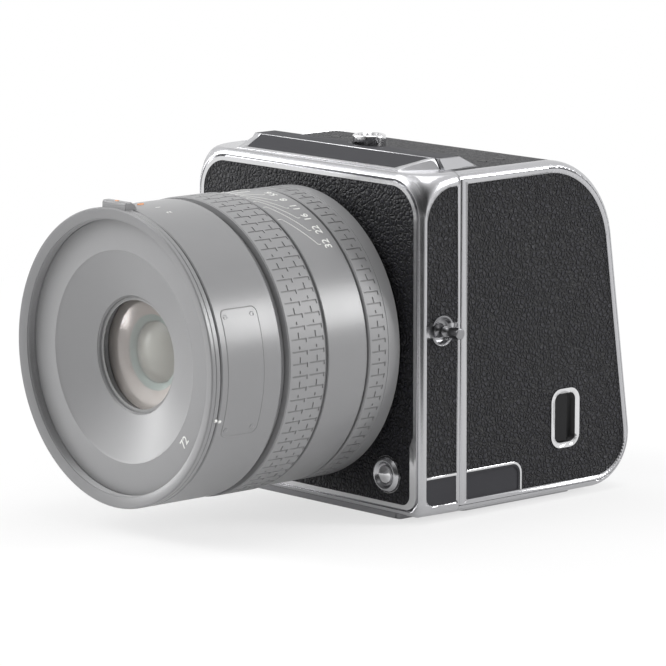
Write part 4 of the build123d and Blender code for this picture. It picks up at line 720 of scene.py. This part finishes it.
stroke("tab_dot", [on_ring(-75.9, 40.45, 89.3), on_ring(-75.9, 40.45, 90.7)], 0.4 * MM, ORANGE, filter_body)
stroke("ring_mark_front", ring_path([(-75.6, -17.0), (-74.85, -17.0)], 38.8), 0.45 * MM, INK, filter_body)
stroke("ring_mark_rear", ring_path([(-74.2, -17.6), (-73.4, -17.6)], 38.8), 0.4 * MM, INK, barrel_body)
face_turn = radians(-38.0)
face_out = Vector((cos(face_turn), 0, sin(face_turn)))
figure_place = face_out * 30.6 * MM + Vector((0, -74.32 * MM, AXIS_Z))
printed("filter_figure", "72", 2.3, figure_place, Vector((0, -1, 0)), -face_out, body_of["cone_bezel"])


# Seam round the plate on the barrel
def rounded_outline(low, high, radius, steps=6):
    """Points of a rectangle with rounded corners, from its low-low corner round."""
    centres = ((low[0], low[1], 1, 1, 180), (high[0], low[1], -1, 1, 270), (high[0], high[1], -1, -1, 0),
               (low[0], high[1], 1, -1, 90))
    points = []
    for u, v, du, dv, start in centres:
        for step in range(steps + 1):
            angle = radians(start + 90 * step / steps)
            points.append((u + du * radius + radius * cos(angle), v + dv * radius + radius * sin(angle)))
    return points


def plate_seam():
    """Thin dark seam round the plate on the barrel, drawn flat from the side and laid on the ring."""
    laid = 38.86             # radius at which it lies, a little under the barrel's
    outline = rounded_outline((-72.28, -16.25), (-60.32, 16.25), 1.6)
    outline.append(outline[0])
    points = []
    for (y1, height1), (y2, height2) in zip(outline, outline[1:]):
        steps = max(1, int(abs(height2 - height1) / 1.5))
        for step in range(steps):
            share = step / steps
            height = height1 + (height2 - height1) * share
            points.append(on_ring(y1 + (y2 - y1) * share, laid, degrees(asin(height / BARREL))))
    points.append(points[0])
    stroke("plate_seam", points, 0.13 * MM, LENS_SLOT_SHADE_AND_SEAM, barrel_body)


plate_seam()


# Bright bars beside the bare plates
def raised_bar(name, outline, body):
    """A bright bar on the right side, filled from an outline of (y, z) in mm and given its thickness."""
    inner, outer = 43.7, 44.5    # where its two faces are, in mm from the middle of the camera
    bar = extruded([Vector((inner * MM, y * MM, z * MM)) for y, z in outline], ((outer - inner) * MM, 0, 0))
    bevel_edges(bar, 0.12 * MM, 2, 30.0)
    smooth(bar, 40.0)
    dress(bar, name, body, "bright_trim", BRIGHT)


def corner_arc(radius, turns):
    """Points round the upper corner of the door's plate, at angles from straight up."""
    y, z = 22.3, 9.3
    return [(y + radius * sin(radians(turn)), z + radius * cos(radians(turn))) for turn in turns]


door_bar = [(5.3, 11.95), (22.3, 11.95)] + corner_arc(2.65, range(0, 91, 15))
door_bar += [(24.95, 4.75), (25.6, 4.75)] + corner_arc(3.3, range(90, -1, -15))
door_bar += [(5.3, 12.6)]
raised_bar("door_plate_bar", door_bar, body_of["door_plate"])
raised_bar("body_plate_bar", [(-9.05, 11.75), (1.75, 11.75), (1.75, 12.38), (-9.05, 12.38)],
           body_of["body_side_plate"])

# Small slots in the top leather, drawn as black bars: painted shade of their openings
bpy.context.view_layer.update()
top_leather = bpy.data.objects["top_leather_finish"]
half_slot = Vector((1.8 * MM, 0, 0))
slot_sink = Vector((0, 0, -0.25 * MM))
for number, (x, y) in enumerate(((32.0, 22.3), (32.0, 28.6), (-32.0, 22.3), (-32.0, 28.6)), start=1):
    place = top_leather.ray_cast(Vector((x * MM, y * MM, 0.2)), Vector((0, 0, -1)))[1] + slot_sink
    stroke("top_slot_" + str(number), [place - half_slot, place + half_slot], 0.5 * MM, BLACK_PLASTIC,
           body_of["top_leather"], "black_plastic")


# Floor, light and camera
def flat_light(name, place, target, size, power):
    """A rectangular lamp that faces a target."""
    data = bpy.data.lights.new(name, "AREA")
    data.shape = "RECTANGLE"
    data.size, data.size_y = size
    data.energy = power
    lamp = bpy.data.objects.new(name, data)
    lamp.location = place
    lamp.rotation_euler = (Vector(target) - Vector(place)).to_track_quat("-Z", "Y").to_euler()
    bpy.context.collection.objects.link(lamp)


def seen_by_looks(tree):
    """The Light Path node, and 1 for the rays of the camera, of reflections and of refractions."""
    path = add_node(tree, "ShaderNodeLightPath")
    looks = math_node(tree, "MAXIMUM", path.outputs["Is Camera Ray"], path.outputs["Is Glossy Ray"])
    return path, math_node(tree, "MAXIMUM", looks, path.outputs["Is Transmission Ray"])


def mixed(tree, share, first, second, output):
    """Two shaders mixed by a share into an output."""
    mix = add_node(tree, "ShaderNodeMixShader", {"Fac": share, 1: first.outputs[0], 2: second.outputs[0]})
    feed(tree, tree.nodes[output].inputs["Surface"], mix.outputs[0])


def build_world():
    """A white backdrop behind the camera's subject and a darker studio in front of it; the backdrop is
    white to the camera on every side. Its light on the object is even and plain."""
    world = bpy.data.worlds.new("studio")
    bpy.context.scene.world = world
    world.use_nodes = True
    tree = world.node_tree
    plain = tree.nodes["Background"]
    plain.inputs["Strength"].default_value = 0.5
    plain.inputs["Color"].default_value = (1, 1, 1, 1)
    path, looks = seen_by_looks(tree)
    coordinates = add_node(tree, "ShaderNodeTexCoord")
    front = add_node(tree, "ShaderNodeVectorMath",
                     {0: coordinates.outputs["Generated"], 1: (0.70, -0.66, -0.25)}, operation="DOT_PRODUCT")
    room = map_range(tree, front.outputs["Value"], 1.0, 0.06, -0.1, 0.75, interpolation_type="SMOOTHSTEP")
    seen = math_node(tree, "MAXIMUM", room, path.outputs["Is Camera Ray"])
    studio = add_node(tree, "ShaderNodeBackground", {"Color": (1, 1, 1, 1), "Strength": seen})
    mixed(tree, looks, plain, studio, "World Output")


def flat_sheet(name, size, place, paper):
    """A square sheet of the studio, laid flat."""
    deselect()
    bpy.ops.mesh.primitive_plane_add(size=size, location=place)
    sheet = bpy.context.object
    sheet.name = name
    sheet.data.materials.append(paper)
    return sheet


def matt_paper(name, grey):
    """Matt paper of an even grey, with its node tree and its shader."""
    paper, tree, shader = fresh_material(name)
    shader.inputs["Base Color"].default_value = (grey, grey, grey, 1)
    shader.inputs["Roughness"].default_value = 0.9
    shader.inputs["Specular IOR Level"].default_value = 0.0
    return paper, tree, shader


def build_floor():
    """A pale floor, white where it is seen, that keeps a soft shadow under the object."""
    paper, tree, shader = matt_paper("studio_paper", 0.9)
    path, looks = seen_by_looks(tree)
    near = add_node(tree, "ShaderNodeTexGradient", {"Vector": object_place(tree, 2.6)},
                    gradient_type="SPHERICAL").outputs["Fac"]
    seen = map_range(tree, near, 1.0, 0.62)
    reflected = map_range(tree, near, 1.0, 0.16)
    choice = add_node(tree, "ShaderNodeMix",
                      {"Factor": path.outputs["Is Camera Ray"], 2: reflected, 3: seen}, data_type="FLOAT")
    share = math_node(tree, "MULTIPLY", looks, choice.outputs[0])
    mixed(tree, share, shader, add_node(tree, "ShaderNodeEmission"), "Material Output")
    floor = flat_sheet("studio_floor", 6.0, (0, 0, -0.00005), paper)


def build_card():
    """A black card on the floor in front, seen only in reflections, that darkens the metal's edges."""
    card = flat_sheet("black_card", 0.9, (0.58, -0.53, 0.004), matt_paper("black_paper", 0.03)[0])
    card.visible_camera = False
    card.visible_diffuse = False
    card.visible_shadow = False


build_world()
flat_light("key_light", (-0.60, -0.70, 0.85), (0, 0, 0.05), (0.7, 0.7), 6.0)
flat_light("side_light", (0.84, 0.76, 0.46), (0, -0.03, 0.05), (0.3, 0.45), 7.0)
flat_light("left_light", (-1.12, -0.50, 0.30), (0, -0.06, 0.05), (0.4, 0.9), 8.0)
flat_light("top_light", (0.1, 0.1, 1.0), (0, 0, 0.05), (0.6, 0.6), 3.0)
build_floor()
build_card()

camera_data = bpy.data.cameras.new("studio_camera")
camera_data.sensor_width = 36.0
camera_data.lens = 256.58
camera_data.clip_start = 0.05
camera = bpy.data.objects.new("studio_camera", camera_data)
camera.location = (0.923277, -0.840613, 0.256425)
camera.rotation_euler = (radians(80.348), 0, radians(47.736))
bpy.context.collection.objects.link(camera)
bpy.context.scene.camera = camera
bpy.context.scene.view_settings.view_transform = "Standard"

bpy.context.view_layer.update()
